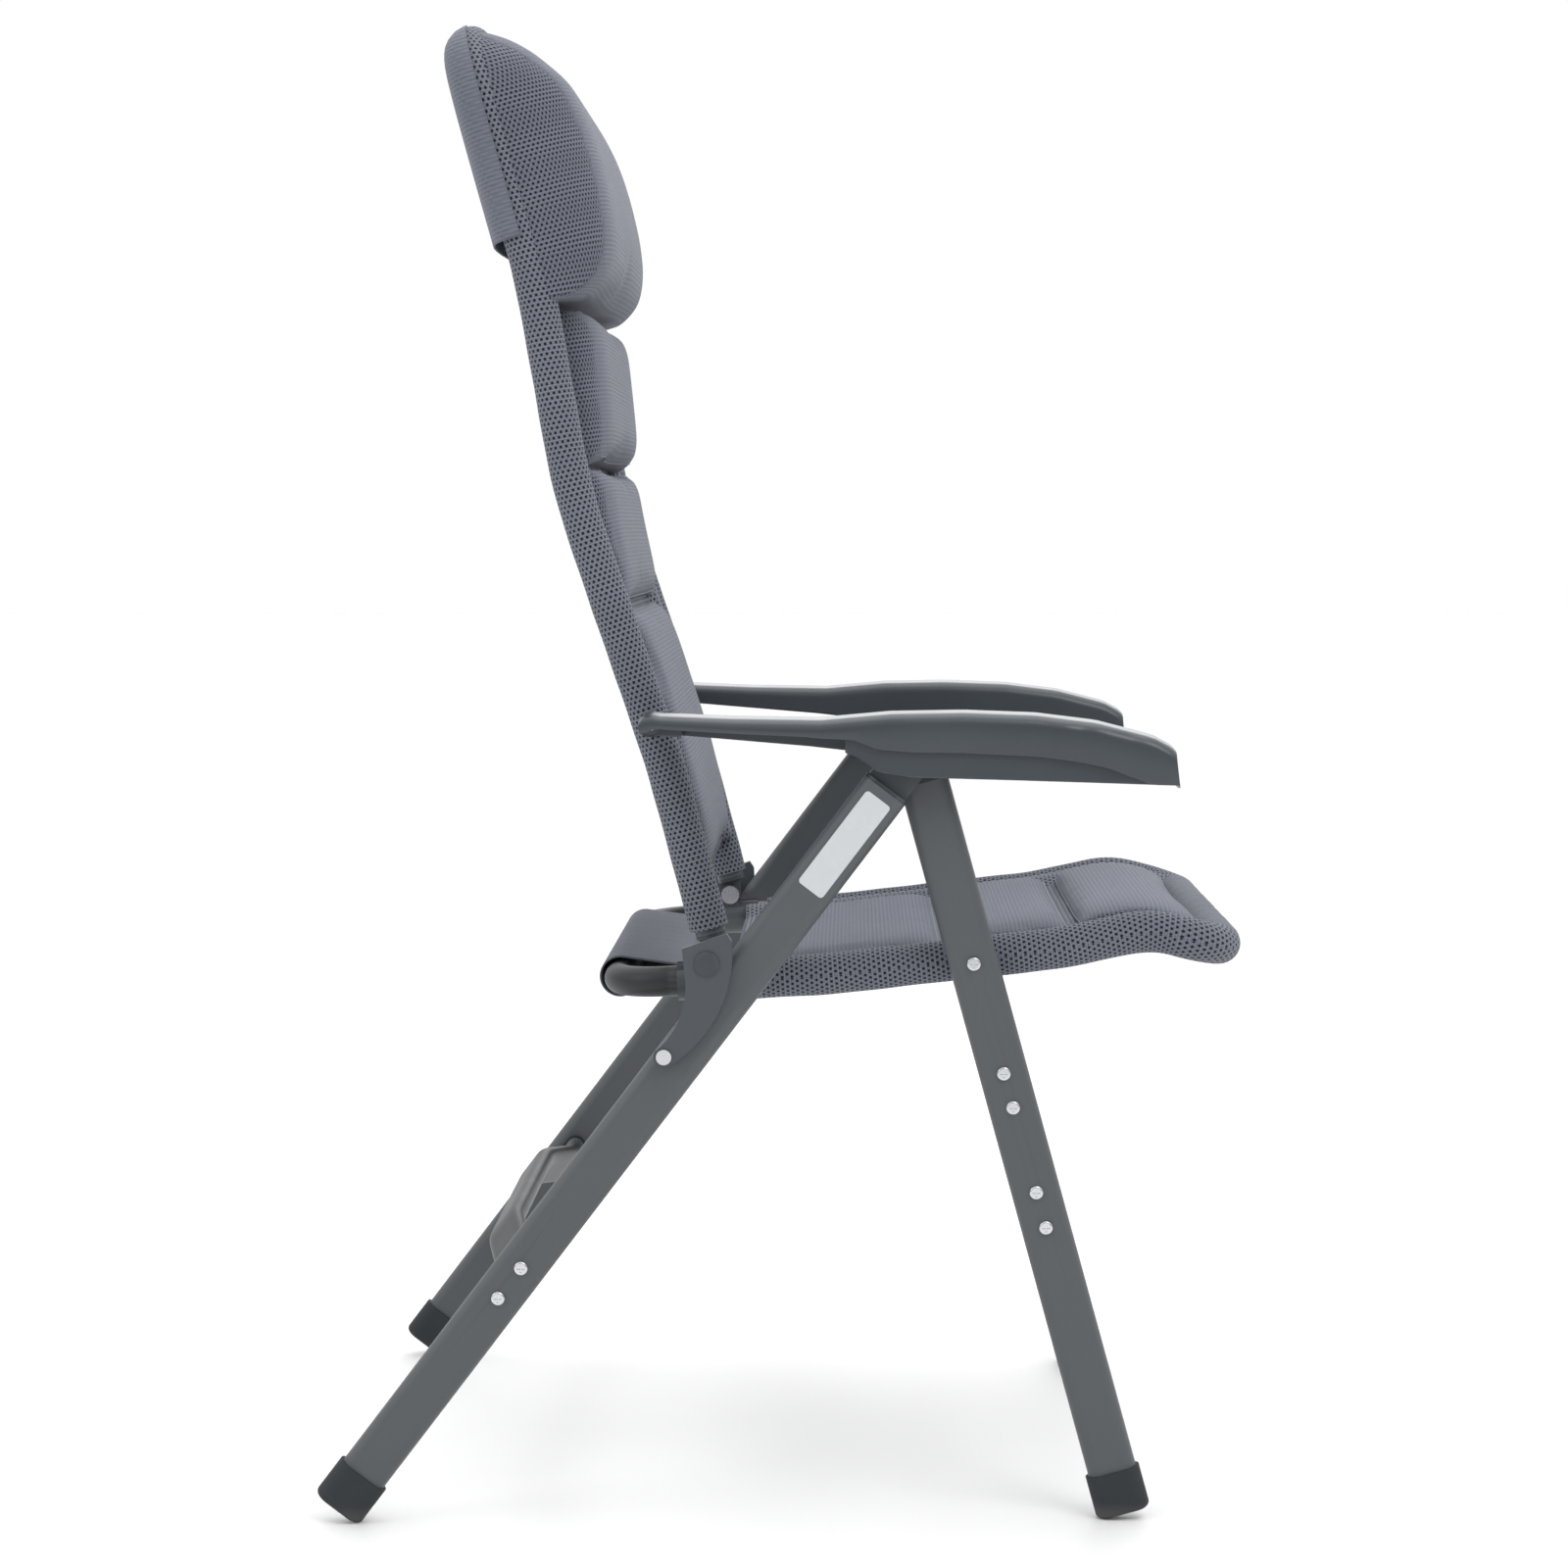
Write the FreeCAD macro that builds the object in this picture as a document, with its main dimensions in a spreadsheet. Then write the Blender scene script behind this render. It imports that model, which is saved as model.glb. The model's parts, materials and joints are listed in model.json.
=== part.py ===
"""Folding camp chair with a high padded back: a parametric FreeCAD document, in millimetres.

The chair faces +X, +Y is its left side and Z = 0 is the ground. Two pairs of flat oval legs cross
under each armrest at the top pivot. The seat loop hangs on the front legs, a curved link ties its
rear pivot to the rear legs, and the back turns on that same rear pivot.
"""
import FreeCAD, Part
import math
import os
import Sketcher
from FreeCAD import Placement, Rotation, Vector

DIMENSIONS = [
    # pivots, in the side view
    ("top_pivot_x", 105.5), ("top_pivot_z", 630),
    ("seat_pivot_drop", 180),
    ("back_pivot_x", -61), ("back_pivot_z", 460),
    ("link_pivot_x", -95.6), ("link_pivot_z", 384.8),
    ("arm_pivot_x", -106), ("arm_pivot_z", 650),
    ("rear_foot_x", -372), ("front_foot_x", 279),
    # planes of the side members, measured from the middle of the chair
    ("tube_y", 232), ("front_leg_y", 266), ("rear_leg_y", 290), ("link_y", 305),
    # legs and crossbars: flat oval tube
    ("leg_wide", 40), ("leg_thick", 20), ("leg_wall", 1.6),
    ("bar_wide", 40), ("bar_thick", 16), ("bar_wall", 1.4), ("flange_thick", 3), ("rear_bar_bow", 22),
    ("rear_leg_cut", 40), ("front_leg_cut", 28),
    # seat and back: round tube in a fabric sleeve
    ("tube_radius", 12.5), ("tube_wall", 1.5),
    ("sleeve_bore", 12.9), ("sleeve_radius", 15.5),
    # rubber feet
    ("foot_wide", 45), ("foot_thick", 25), ("foot_tall", 36), ("foot_floor", 6),
    ("rear_foot_start", 13.5), ("front_foot_start", 4.5), ("foot_round", 5),
    # screws, pins and bushes
    ("screw_radius", 2.6), ("screw_head", 5.7), ("screw_head_tall", 2.5), ("screw_long", 16),
    ("pin_radius", 4), ("pin_bore", 4.05), ("bush_radius", 6), ("bush_bore", 6.05),
    ("arm_bush_radius", 7), ("arm_bush_bore", 7.05),
    ("tongue_thick", 11.5), ("tongue_round", 18),
    # link
    ("link_thick", 8), ("link_spacer", 7),
    # armrest
    ("arm_inner_y", 251), ("arm_outer_y", 305.5), ("arm_wall", 3.5),
    ("notch_pitch", 19), ("notch_radius", 4.6), ("rail_lift", 11),
]
SIDES = (("left", 1), ("right", -1))
BACK_SIDE = [(-61, 476), (-98, 615), (-173, 836), (-203.5, 1010), (-258, 1203)]
SEAT_SIDE = [(-139, 433.5), (37, 444), (227, 466), (300, 482), (360, 466)]
BACK_BENDS = [500, 500, 500]
SEAT_BENDS = [500, 300, 90]
CORNER_BEND = 62

doc = FreeCAD.newDocument("folding_camp_chair")
sheet = doc.addObject("Spreadsheet::Sheet", "dims")
for row, (alias, number) in enumerate(DIMENSIONS, start=1):
    sheet.set("A%d" % row, str(number))
    sheet.setAlias("A%d" % row, alias)
doc.recompute()
dim = {alias: float(sheet.get(alias)) for alias, number in DIMENSIONS}
nodes = []

TOP = Vector(dim["top_pivot_x"], 0, dim["top_pivot_z"])
BACK_PIVOT = Vector(dim["back_pivot_x"], 0, dim["back_pivot_z"])
LINK_PIVOT = Vector(dim["link_pivot_x"], 0, dim["link_pivot_z"])
ARM_PIVOT = Vector(dim["arm_pivot_x"], 0, dim["arm_pivot_z"])
LEG_FEET = {"rear": Vector(dim["rear_foot_x"], 0, 0), "front": Vector(dim["front_foot_x"], 0, 0)}


def at_y(point, y):
    return Vector(point.x, y, point.z)


def leg_tilt(which):
    """Angle of a leg from the vertical, as a turn about +Y."""
    up = TOP - LEG_FEET[which]
    return math.degrees(math.atan2(up.x, up.z))


def leg_place(which, side):
    """The frame of one leg: its origin on the ground, its Z up along the leg."""
    foot = at_y(LEG_FEET[which], side * dim[which + "_leg_y"])
    return Placement(foot, Rotation(Vector(0, 1, 0), leg_tilt(which)))


def leg_length(which):
    return (TOP - LEG_FEET[which]).Length


def along_leg(which, distance, side=0):
    """A point on a leg's axis at this distance below the top pivot."""
    up = (TOP - LEG_FEET[which]).normalize()
    point = TOP - up * distance
    return at_y(point, side * dim[which + "_leg_y"])


SEAT_PIVOT = along_leg("front", dim["seat_pivot_drop"])


def finish(item, name):
    item.Label = name
    nodes.append(item)
    return item


def feature(name, shape, placement=None):
    """A sub-part whose shape is worked out here; its Placement is set after its Shape."""
    item = doc.addObject("Part::Feature", name)
    item.Shape = shape
    if placement:
        item.Placement = placement
    return finish(item, name)


def cylinder(radius, start, end):
    return Part.makeCylinder(radius, (end - start).Length, start, end - start)


def cross_pin(point, radius, inner, outer, side):
    """A cylinder across the chair, between two distances from its middle."""
    return cylinder(radius, at_y(point, side * inner), at_y(point, side * outer))


def plane_of(body, role):
    return next(item for item in body.Origin.OriginFeatures if item.Role == role)


def new_sketch(body, role, name):
    sketch = body.newObject("Sketcher::SketchObject", name)
    sketch.AttachmentSupport = [(plane_of(body, role), "")]
    sketch.MapMode = "FlatFace"
    return sketch


def add_oval(sketch, wide, thick):
    """A flat oval centred on the sketch, its two sizes given as expressions of the sheet."""
    first = sketch.GeometryCount
    half, radius = 12.0, 8.0
    normal = Vector(0, 0, 1)
    right = Part.Circle(Vector(half, 0, 0), normal, radius)
    left = Part.Circle(Vector(-half, 0, 0), normal, radius)
    sketch.addGeometry([
        Part.LineSegment(Vector(-half, radius, 0), Vector(half, radius, 0)),
        Part.ArcOfCircle(right, -math.pi / 2, math.pi / 2),
        Part.LineSegment(Vector(-half, -radius, 0), Vector(half, -radius, 0)),
        Part.ArcOfCircle(left, math.pi / 2, 3 * math.pi / 2)], False)
    top, east, bottom, west = range(first, first + 4)
    add = lambda *rule: sketch.addConstraint(Sketcher.Constraint(*rule))
    add("Tangent", top, 2, east, 2)
    add("Tangent", bottom, 2, east, 1)
    add("Tangent", top, 1, west, 1)
    add("Tangent", bottom, 1, west, 2)
    add("Equal", east, west)
    add("Symmetric", west, 3, east, 3, -1, 1)
    add("PointOnObject", east, 3, -1)
    round_rule = add("Radius", east, radius)
    length_rule = add("DistanceX", west, 3, east, 3, 2 * half)
    sketch.setExpression("Constraints[%d]" % round_rule, "(%s) / 2" % thick)
    sketch.setExpression("Constraints[%d]" % length_rule, "(%s) - (%s)" % (wide, thick))


def add_hole(sketch, x, y, expression):
    """A round hole outline; its radius is an expression of the sheet."""
    index = sketch.addGeometry(Part.Circle(Vector(x, y, 0), Vector(0, 0, 1), 3.0), False)
    sketch.addConstraint(Sketcher.Constraint("DistanceX", -1, 1, index, 3, x))
    sketch.addConstraint(Sketcher.Constraint("DistanceY", -1, 1, index, 3, y))
    rule = sketch.addConstraint(Sketcher.Constraint("Radius", index, 3.0))
    sketch.setExpression("Constraints[%d]" % rule, expression)


def pad(body, sketch, length, symmetric=False):
    item = body.newObject("PartDesign::Pad", body.Name + "_pad")
    item.Profile = sketch
    item.setExpression("Length", length)
    if symmetric:
        item.SideType = "Symmetric"
    sketch.Visibility = False
    return item


def pocket_through(body, sketch):
    item = body.newObject("PartDesign::Pocket", body.Name + "_holes")
    item.Profile = sketch
    item.Type = "ThroughAll"
    item.SideType = "Symmetric"
    return item


def oval_tube(name, wide, thick, wall, length, placement, holes=()):
    """A flat oval tube along its own Z, with round holes across its flat faces."""
    body = doc.addObject("PartDesign::Body", name)
    sketch = new_sketch(body, "XY_Plane", name + "_section")
    add_oval(sketch, wide, thick)
    add_oval(sketch, "%s - 2 * %s" % (wide, wall), "%s - 2 * %s" % (thick, wall))
    pad(body, sketch, length)
    if holes:
        hole_sketch = new_sketch(body, "XZ_Plane", name + "_hole_plan")
        for x, z, radius in holes:
            add_hole(hole_sketch, x, z, radius)
        doc.recompute()
        pocket_through(body, hole_sketch)
    body.Placement = placement
    return finish(body, name)


# --- legs -------------------------------------------------------------------------------------

FRONT_SCREWS = [92.6, 121.4, 193.3, 223.2]
REAR_SCREWS = [525.5, 556.5]
UPPER_BAR = (FRONT_SCREWS[0] + FRONT_SCREWS[1]) / 2 + dim["seat_pivot_drop"]
LOWER_BAR = (FRONT_SCREWS[2] + FRONT_SCREWS[3]) / 2 + dim["seat_pivot_drop"]
REAR_BAR = (REAR_SCREWS[0] + REAR_SCREWS[1]) / 2


def screw_heights(which):
    """Distances of the crossbar screws below the top pivot."""
    if which == "rear":
        return REAR_SCREWS
    return [dim["seat_pivot_drop"] + drop for drop in FRONT_SCREWS]


def in_leg(which, point):
    """A side-view point in a leg's own frame."""
    return leg_place(which, 0).inverse().multVec(at_y(point, 0))


def make_legs():
    for which in ("rear", "front"):
        start = tube_start(which)
        length = "%r - dims.%s_leg_cut - dims.%s_foot_start - dims.foot_floor"
        length = length % (round(leg_length(which), 3), which, which)
        holes = [(0, leg_length(which) - drop - start, "dims.screw_radius")
                 for drop in screw_heights(which)]
        if which == "rear":
            rivet = in_leg(which, LINK_PIVOT)
            holes.append((rivet.x, rivet.z - start, "dims.pin_radius"))
        else:
            pivot = in_leg(which, SEAT_PIVOT)
            holes.append((pivot.x, pivot.z - start, "dims.pin_bore"))
        for label, side in SIDES:
            placement = leg_place(which, side) * Placement(Vector(0, 0, start), Rotation())
            oval_tube("%s_leg_%s" % (which, label), "dims.leg_wide", "dims.leg_thick",
                      "dims.leg_wall", length, placement, holes)


def tube_start(which):
    """Height of a leg tube's lower end above the ground point, along the leg."""
    return dim[which + "_foot_start"] + dim["foot_floor"]


def make_feet():
    """Square-ended rubber caps on the tube ends, trimmed flat where a corner meets the ground."""
    for which in ("rear", "front"):
        for label, side in SIDES:
            name = "%s_foot_%s" % (which, label)
            body = doc.addObject("PartDesign::Body", name + "_cap")
            sketch = new_sketch(body, "XY_Plane", name + "_outline")
            add_oval(sketch, "dims.foot_wide", "dims.foot_thick")
            block = pad(body, sketch, "dims.foot_tall")
            doc.recompute()
            rounding = body.newObject("PartDesign::Fillet", name + "_rounding")
            rounding.Base = (block, bottom_edges(block.Shape))
            rounding.setExpression("Radius", "dims.foot_round")
            body.Tip = rounding
            lift = Vector(0, 0, dim[which + "_foot_start"])
            body.Placement = leg_place(which, side) * Placement(lift, Rotation())
            lift = Vector(0, 0, tube_start(which))
            socket_place = leg_place(which, side) * Placement(lift, Rotation())
            leg = oval_cutter(name + "_socket", socket_place)
            hollow = doc.addObject("Part::Cut", name + "_hollow")
            hollow.Base = body
            hollow.Tool = leg
            ground = doc.addObject("Part::Box", name + "_ground")
            ground.Length = ground.Width = 200
            ground.Height = 60
            corner = at_y(LEG_FEET[which], side * dim[which + "_leg_y"]) - Vector(100, 100, 60)
            ground.Placement = Placement(corner, Rotation())
            cap = doc.addObject("Part::Cut", name)
            cap.Base = hollow
            cap.Tool = ground
            finish(cap, name)


def bottom_edges(shape):
    """Names of the edges that lie in a shape's lowest plane."""
    low = shape.BoundBox.ZMin
    return ["Edge%d" % number for number, edge in enumerate(shape.Edges, start=1)
            if edge.BoundBox.ZMax < low + 1e-3]


def oval_cutter(name, placement):
    body = doc.addObject("PartDesign::Body", name)
    sketch = new_sketch(body, "XY_Plane", name + "_outline")
    add_oval(sketch, "dims.leg_wide", "dims.leg_thick")
    pad(body, sketch, "dims.foot_tall")
    body.Placement = placement
    return body


def bar_place(which, drop):
    """A crossbar's frame: its Z across the chair, its wide side along the legs."""
    centre = along_leg(which, drop)
    across = Rotation(Vector(1, 0, 0), -90)
    tilt = Rotation(Vector(0, 1, 0), leg_tilt(which))
    upright = Rotation(Vector(0, 0, 1), 90)
    return Placement(centre, tilt * across * upright)


def make_crossbars():
    for name, drop in (("front_crossbar_upper", UPPER_BAR), ("front_crossbar_lower", LOWER_BAR)):
        reach = bar_reach("front")
        placement = bar_place("front", drop) * Placement(Vector(0, 0, -reach), Rotation())
        length = "2 * (dims.front_leg_y - dims.leg_thick / 2 - dims.flange_thick)"
        oval_tube(name, "dims.bar_wide", "dims.bar_thick", "dims.bar_wall", length, placement)
    feature("rear_crossbar", bowed_bar(), bar_place("rear", REAR_BAR))


def bar_reach(which):
    """Half the length of a crossbar, from the chair's middle to the plug's flange."""
    return dim[which + "_leg_y"] - dim["leg_thick"] / 2 - dim["flange_thick"]


def bowed_bar():
    """The rear crossbar: a flat oval tube that bows rearwards between short straight ends."""
    reach = bar_reach("rear")
    straight = 42
    bow = dim["rear_bar_bow"]
    start = Vector(0, 0, -reach)
    corner = Vector(0, 0, -reach + straight)
    waist = Vector(0, bow, -reach + straight + 90)
    path = [start, corner, waist]
    path += [Vector(0, point.y, -point.z) for point in reversed(path)]
    wire = bent_wire(path, [120, 120, 120, 120])
    walls = []
    for inset in (0, dim["bar_wall"]):
        wide, thick = dim["bar_wide"] - 2 * inset, dim["bar_thick"] - 2 * inset
        face = next(face for face in oval_block(wide, thick, 1).Faces
                    if abs(face.CenterOfMass.z) < 1e-6)
        section = face.OuterWire
        section.translate(start)
        walls.append(wire.makePipeShell([section], True, False))
    return walls[0].cut(walls[1])


def bar_plug(which, drop, side):
    """A plastic end piece: a flange against the leg and a spigot inside the crossbar."""
    face = dim[which + "_leg_y"] - dim["leg_thick"] / 2
    wall = dim["bar_wall"] + 0.1
    flange = oval_block(dim["bar_wide"] + 3, dim["bar_thick"] + 3, dim["flange_thick"])
    spigot = oval_block(dim["bar_wide"] - 2 * wall, dim["bar_thick"] - 2 * wall, 22)
    spigot.translate(Vector(0, 0, -22))
    plug = flange.fuse(spigot)
    for height in screw_heights(which):
        offset = drop - height
        if abs(offset) < dim["bar_wide"] / 2:
            plug = plug.cut(Part.makeCylinder(dim["screw_radius"], 60, Vector(-offset, 0, -40)))
    flip = Rotation(Vector(1, 0, 0), 0 if side > 0 else 180)
    place = Placement(Vector(0, 0, side * (face - dim["flange_thick"])), flip)
    plug.Placement = bar_place(which, drop) * place
    return plug


def oval_block(wide, thick, tall):
    """A solid flat oval prism on Z = 0."""
    half, radius = (wide - thick) / 2, thick / 2
    box = Part.makeBox(2 * half, thick, tall, Vector(-half, -radius, 0))
    ends = [Part.makeCylinder(radius, tall, Vector(x, 0, 0)) for x in (-half, half)]
    return box.fuse(ends[0]).fuse(ends[1]).removeSplitter()


def pan_screw(point, side, face, long):
    """A pan-head screw standing on a leg's outer face, with a cross recess."""
    tall = dim["screw_head_tall"]
    head = cross_pin(point, dim["screw_head"], face, face + tall, side)
    head = head.makeFillet(1.6, [edge_at(head, side * (face + tall))])
    bar = Part.makeBox(6.4, 1.2, 1.2, Vector(-3.2, -1.2, -0.6))
    post = Part.makeBox(1.2, 1.2, 6.4, Vector(-0.6, -1.2, -3.2))
    cross = bar.fuse(post)
    cross.translate(at_y(point, side * (face + tall) + (1.2 if side < 0 else 0)))
    shank = cross_pin(point, dim["screw_radius"], face - long, face, side)
    return head.cut(cross).fuse(shank).removeSplitter()


def edge_at(shape, y):
    """The round edge of a cross pin that lies in the plane Y = y."""
    return next(edge for edge in shape.Edges
                if abs(edge.CenterOfMass.y - y) < 1e-6 and edge.Curve.TypeId == "Part::GeomCircle")


def make_crossbar_fittings():
    for which, bars in (("rear", [REAR_BAR]), ("front", [UPPER_BAR, LOWER_BAR])):
        plugs = [bar_plug(which, drop, side) for drop in bars for label, side in SIDES]
        feature(which + "_crossbar_plugs", Part.makeCompound(plugs))
        face = dim[which + "_leg_y"] + dim["leg_thick"] / 2
        screws = [pan_screw(along_leg(which, drop), side, face, dim["leg_thick"] + dim["screw_long"])
                  for drop in screw_heights(which) for label, side in SIDES]
        feature(which + "_crossbar_screws", Part.makeCompound(screws))


def leg_plug(which, side, inner, outer, bore):
    """The plastic end of a leg: a spigot in the tube and a tongue that reaches the top pivot."""
    length = leg_length(which)
    cut = dim[which + "_leg_cut"]
    wall = dim["leg_wall"] + 0.1
    spigot = oval_block(dim["leg_wide"] - 2 * wall, dim["leg_thick"] - 2 * wall, 24)
    spigot.translate(Vector(0, 0, length - cut - 24))
    flange = oval_block(dim["leg_wide"], dim["leg_thick"], 3)
    flange.translate(Vector(0, 0, length - cut))
    middle = dim[which + "_leg_y"]
    radius = dim["tongue_round"]
    low, high = sorted((side * (inner - middle), side * (outer - middle)))
    tongue = Part.makeBox(2 * radius, high - low, cut, Vector(-radius, low, length - cut))
    tip = Part.makeCylinder(radius, high - low, Vector(0, low, length), Vector(0, 1, 0))
    hole = Part.makeCylinder(bore, 60, Vector(0, -30, length), Vector(0, 1, 0))
    plug = spigot.fuse([flange, tongue, tip]).cut(hole).removeSplitter()
    plug.Placement = leg_place(which, side)
    return plug


def make_leg_tops():
    thick = dim["tongue_thick"]
    split = (dim["front_leg_y"] + dim["rear_leg_y"]) / 2
    rear = [leg_plug("rear", side, split + 1, split + 1 + thick, dim["pin_radius"])
            for label, side in SIDES]
    front = [leg_plug("front", side, split - 1 - thick, split - 1, dim["pin_bore"])
             for label, side in SIDES]
    feature("rear_leg_plugs", Part.makeCompound(rear))
    feature("front_leg_plugs", Part.makeCompound(front))
    axles = [cross_pin(TOP, dim["pin_radius"], dim["arm_inner_y"] + 4, dim["arm_outer_y"] - 5, side)
             for label, side in SIDES]
    feature("leg_axles", Part.makeCompound(axles))


def make_label():
    """A thin blank sticker near the top of the right rear leg's outer face."""
    plate = Part.makeBox(24, 0.2, 92, Vector(-12, -0.2, 0))
    edges = [edge for edge in plate.Edges if abs(edge.BoundBox.YLength - 0.2) < 1e-6]
    plate = plate.makeFillet(3, edges)
    start = leg_length("rear") - dim["rear_leg_cut"] - 100
    lift = Vector(0, -dim["leg_thick"] / 2, start)
    feature("leg_label", plate, leg_place("rear", -1) * Placement(lift, Rotation()))


# --- link between the back pivot and the rear leg ---------------------------------------------

def make_links():
    """Curved flat links: a wide slanted head at the back pivot, a round eye on the leg."""
    head = BACK_PIVOT
    eye = LINK_PIVOT
    small = 8.5
    for label, side in SIDES:
        body = doc.addObject("PartDesign::Body", "link_" + label)
        sketch = new_sketch(body, "XZ_Plane", "link_outline_" + label)
        corners = [Vector(-79, 452, 0), Vector(-81, 472, 0), Vector(-45, 484, 0), Vector(-41, 478, 0)]
        low_front = Vector(eye.x + small * 0.6, eye.z - small * 0.8, 0)
        low_rear = Vector(eye.x - small * 0.8, eye.z + small * 0.6, 0)
        under = Vector(eye.x - small * 0.6, eye.z - small * 0.8, 0)
        front_mid = Vector(-56, 413, 0)
        rear_mid = Vector(-80, 425, 0)
        sketch.addGeometry([
            Part.LineSegment(corners[0], corners[1]),
            Part.LineSegment(corners[1], corners[2]),
            Part.LineSegment(corners[2], corners[3]),
            Part.Arc(corners[3], front_mid, low_front),
            Part.Arc(low_front, under, low_rear),
            Part.Arc(low_rear, rear_mid, corners[0])], False)
        for index in range(6):
            sketch.addConstraint(Sketcher.Constraint("Block", index))
        add_hole(sketch, eye.x, eye.z, "dims.pin_bore")
        pad(body, sketch, "dims.link_thick", True)
        body.Placement = Placement(Vector(0, side * dim["link_y"], 0), Rotation())
        finish(body, "link_" + label)
    half = dim["link_thick"] / 2
    inner, outer = dim["link_y"] - half, dim["link_y"] + half
    caps = [cross_pin(head, 10, outer, outer + 1.5, side) for label, side in SIDES]
    feature("link_caps", Part.makeCompound(caps))
    gap = dim["tube_y"] + dim["sleeve_radius"] + 0.9
    spacers = [cross_pin(head, dim["link_spacer"], gap, inner, side) for label, side in SIDES]
    feature("link_spacers", Part.makeCompound(spacers))
    leg_face = dim["rear_leg_y"] - dim["leg_thick"] / 2
    rivets = []
    for label, side in SIDES:
        shank = cross_pin(eye, dim["pin_radius"], leg_face, outer + 0.3, side)
        head_outer = cross_pin(eye, 6.2, outer + 0.3, outer + 2.3, side)
        washer = cross_pin(eye, 6.2, dim["rear_leg_y"] + dim["leg_thick"] / 2, inner - 0.3, side)
        rivets.append(shank.fuse([head_outer, washer]).removeSplitter())
    feature("link_rivets", Part.makeCompound(rivets))


# --- bent tubes and their fabric sleeves ------------------------------------------------------

def bent_wire(points, bends):
    """Straight runs joined by tangent arcs, one bend radius for each inner point."""
    edges = []
    start = points[0]
    for before, corner, after, bend in zip(points, points[1:], points[2:], bends):
        arrive = (corner - before).normalize()
        leave = (after - corner).normalize()
        turn = arrive.getAngle(leave)
        reach = bend * math.tan(turn / 2)
        arc_start = corner - arrive * reach
        arc_end = corner + leave * reach
        toward = (leave - arrive).normalize()
        middle = corner + toward * (bend / math.cos(turn / 2) - bend)
        edges.append(Part.LineSegment(start, arc_start).toShape())
        edges.append(Part.Arc(arc_start, middle, arc_end).toShape())
        start = arc_end
    edges.append(Part.LineSegment(start, points[-1]).toShape())
    return Part.Wire(edges)


def swept(wire, radius):
    start = wire.Edges[0].Vertexes[0].Point
    direction = wire.Edges[0].tangentAt(wire.Edges[0].FirstParameter)
    ring = Part.Wire(Part.makeCircle(radius, start, direction))
    return wire.makePipeShell([ring], True, False)


def hollow(wire, outer, inner):
    return swept(wire, outer).cut(swept(wire, inner))


def side_point(pair, side):
    return Vector(pair[0], side * dim["tube_y"], pair[1])


def between(first, second, share):
    return first + (second - first) * share


def back_lines():
    """Side wires of the back frame and the wire of its top bow, which meet end to end."""
    sides = {}
    joints = []
    for label, side in SIDES:
        points = [side_point(pair, side) for pair in BACK_SIDE]
        joint = between(points[3], points[4], 0.5)
        sides[side] = bent_wire(points[:4] + [joint], BACK_BENDS)
        joints.append((joint, points[4]))
    (left_joint, left_top), (right_joint, right_top) = joints
    bow = bent_wire([left_joint, left_top, right_top, right_joint], [CORNER_BEND] * 2)
    return sides, bow


def seat_lines():
    """Side wires of the seat frame and the wires of its front and rear bows."""
    sides = {}
    ends = {}
    for label, side in SIDES:
        points = [side_point(pair, side) for pair in SEAT_SIDE]
        rear_joint = between(points[0], points[1], 0.38)
        front_joint = between(points[2], points[3], 0.45)
        sides[side] = bent_wire([rear_joint, points[1], points[2], front_joint], SEAT_BENDS[:2])
        ends[side] = (rear_joint, front_joint, points)
    rear = [ends[1][0], ends[1][2][0], ends[-1][2][0], ends[-1][0]]
    front = [ends[1][1], ends[1][2][3], ends[1][2][4], ends[-1][2][4], ends[-1][2][3], ends[-1][1]]
    rear_bow = bent_wire(rear, [45] * 2)
    front_bow = bent_wire(front, [SEAT_BENDS[2], 40, 40, SEAT_BENDS[2]])
    return sides, front_bow, rear_bow


def make_frames():
    outer = dim["tube_radius"]
    inner = outer - dim["tube_wall"]
    back_sides, bow = back_lines()
    seat_sides, front_bow, rear_bow = seat_lines()
    for label, side in SIDES:
        pin = cross_pin(ARM_PIVOT, dim["pin_bore"], 200, 262, side)
        feature("back_tube_" + label, hollow(back_sides[side], outer, inner).cut(pin))
        screw = cross_pin(SEAT_PIVOT, dim["pin_radius"], 222, 262, side)
        feature("seat_tube_" + label, hollow(seat_sides[side], outer, inner).cut(screw))
    feature("back_top_bow", hollow(bow, outer, inner))
    feature("seat_front_bow", hollow(front_bow, outer, inner))
    feature("seat_rear_bow", hollow(rear_bow, outer, inner))


def keep_zone(low, high):
    """A box that keeps the stretch of a side tube between two corners of the side view."""
    size = Vector(high[0] - low[0], 700, high[1] - low[1])
    return Part.makeBox(size.x, size.y, size.z, Vector(low[0], -350, low[1]))


def make_sleeves():
    """Fabric wrapped round the tubes; bare tube shows at the back pivot and the rear corners."""
    outer, inner = dim["sleeve_radius"], dim["sleeve_bore"]
    back_sides, bow = back_lines()
    seat_sides, front_bow, rear_bow = seat_lines()
    seat_parts = []
    back_parts = []
    for label, side in SIDES:
        screw = cross_pin(SEAT_PIVOT, dim["pin_radius"] + 0.5, 210, 262, side)
        roll = hollow(seat_sides[side], outer, inner).common(keep_zone((-28, 380), (400, 520)))
        seat_parts.append(roll.cut(screw))
        bolt = cross_pin(ARM_PIVOT, dim["pin_radius"] + 0.5, 210, 262, side)
        roll = hollow(back_sides[side], outer, inner).common(keep_zone((-400, 496), (100, 1400)))
        back_parts.append(roll.cut(bolt))
    feature("seat_side_sleeves", Part.makeCompound(seat_parts))
    feature("back_side_sleeves", Part.makeCompound(back_parts))
    feature("back_top_sleeve", hollow(bow, outer, inner))
    feature("seat_front_sleeve", hollow(front_bow, outer, inner))
    rear_zone = Part.makeBox(60, 360, 60, Vector(-170, -180, 405))
    feature("seat_rear_sleeve", hollow(rear_bow, outer, inner).common(rear_zone))


# --- seat hardware ----------------------------------------------------------------------------

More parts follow.
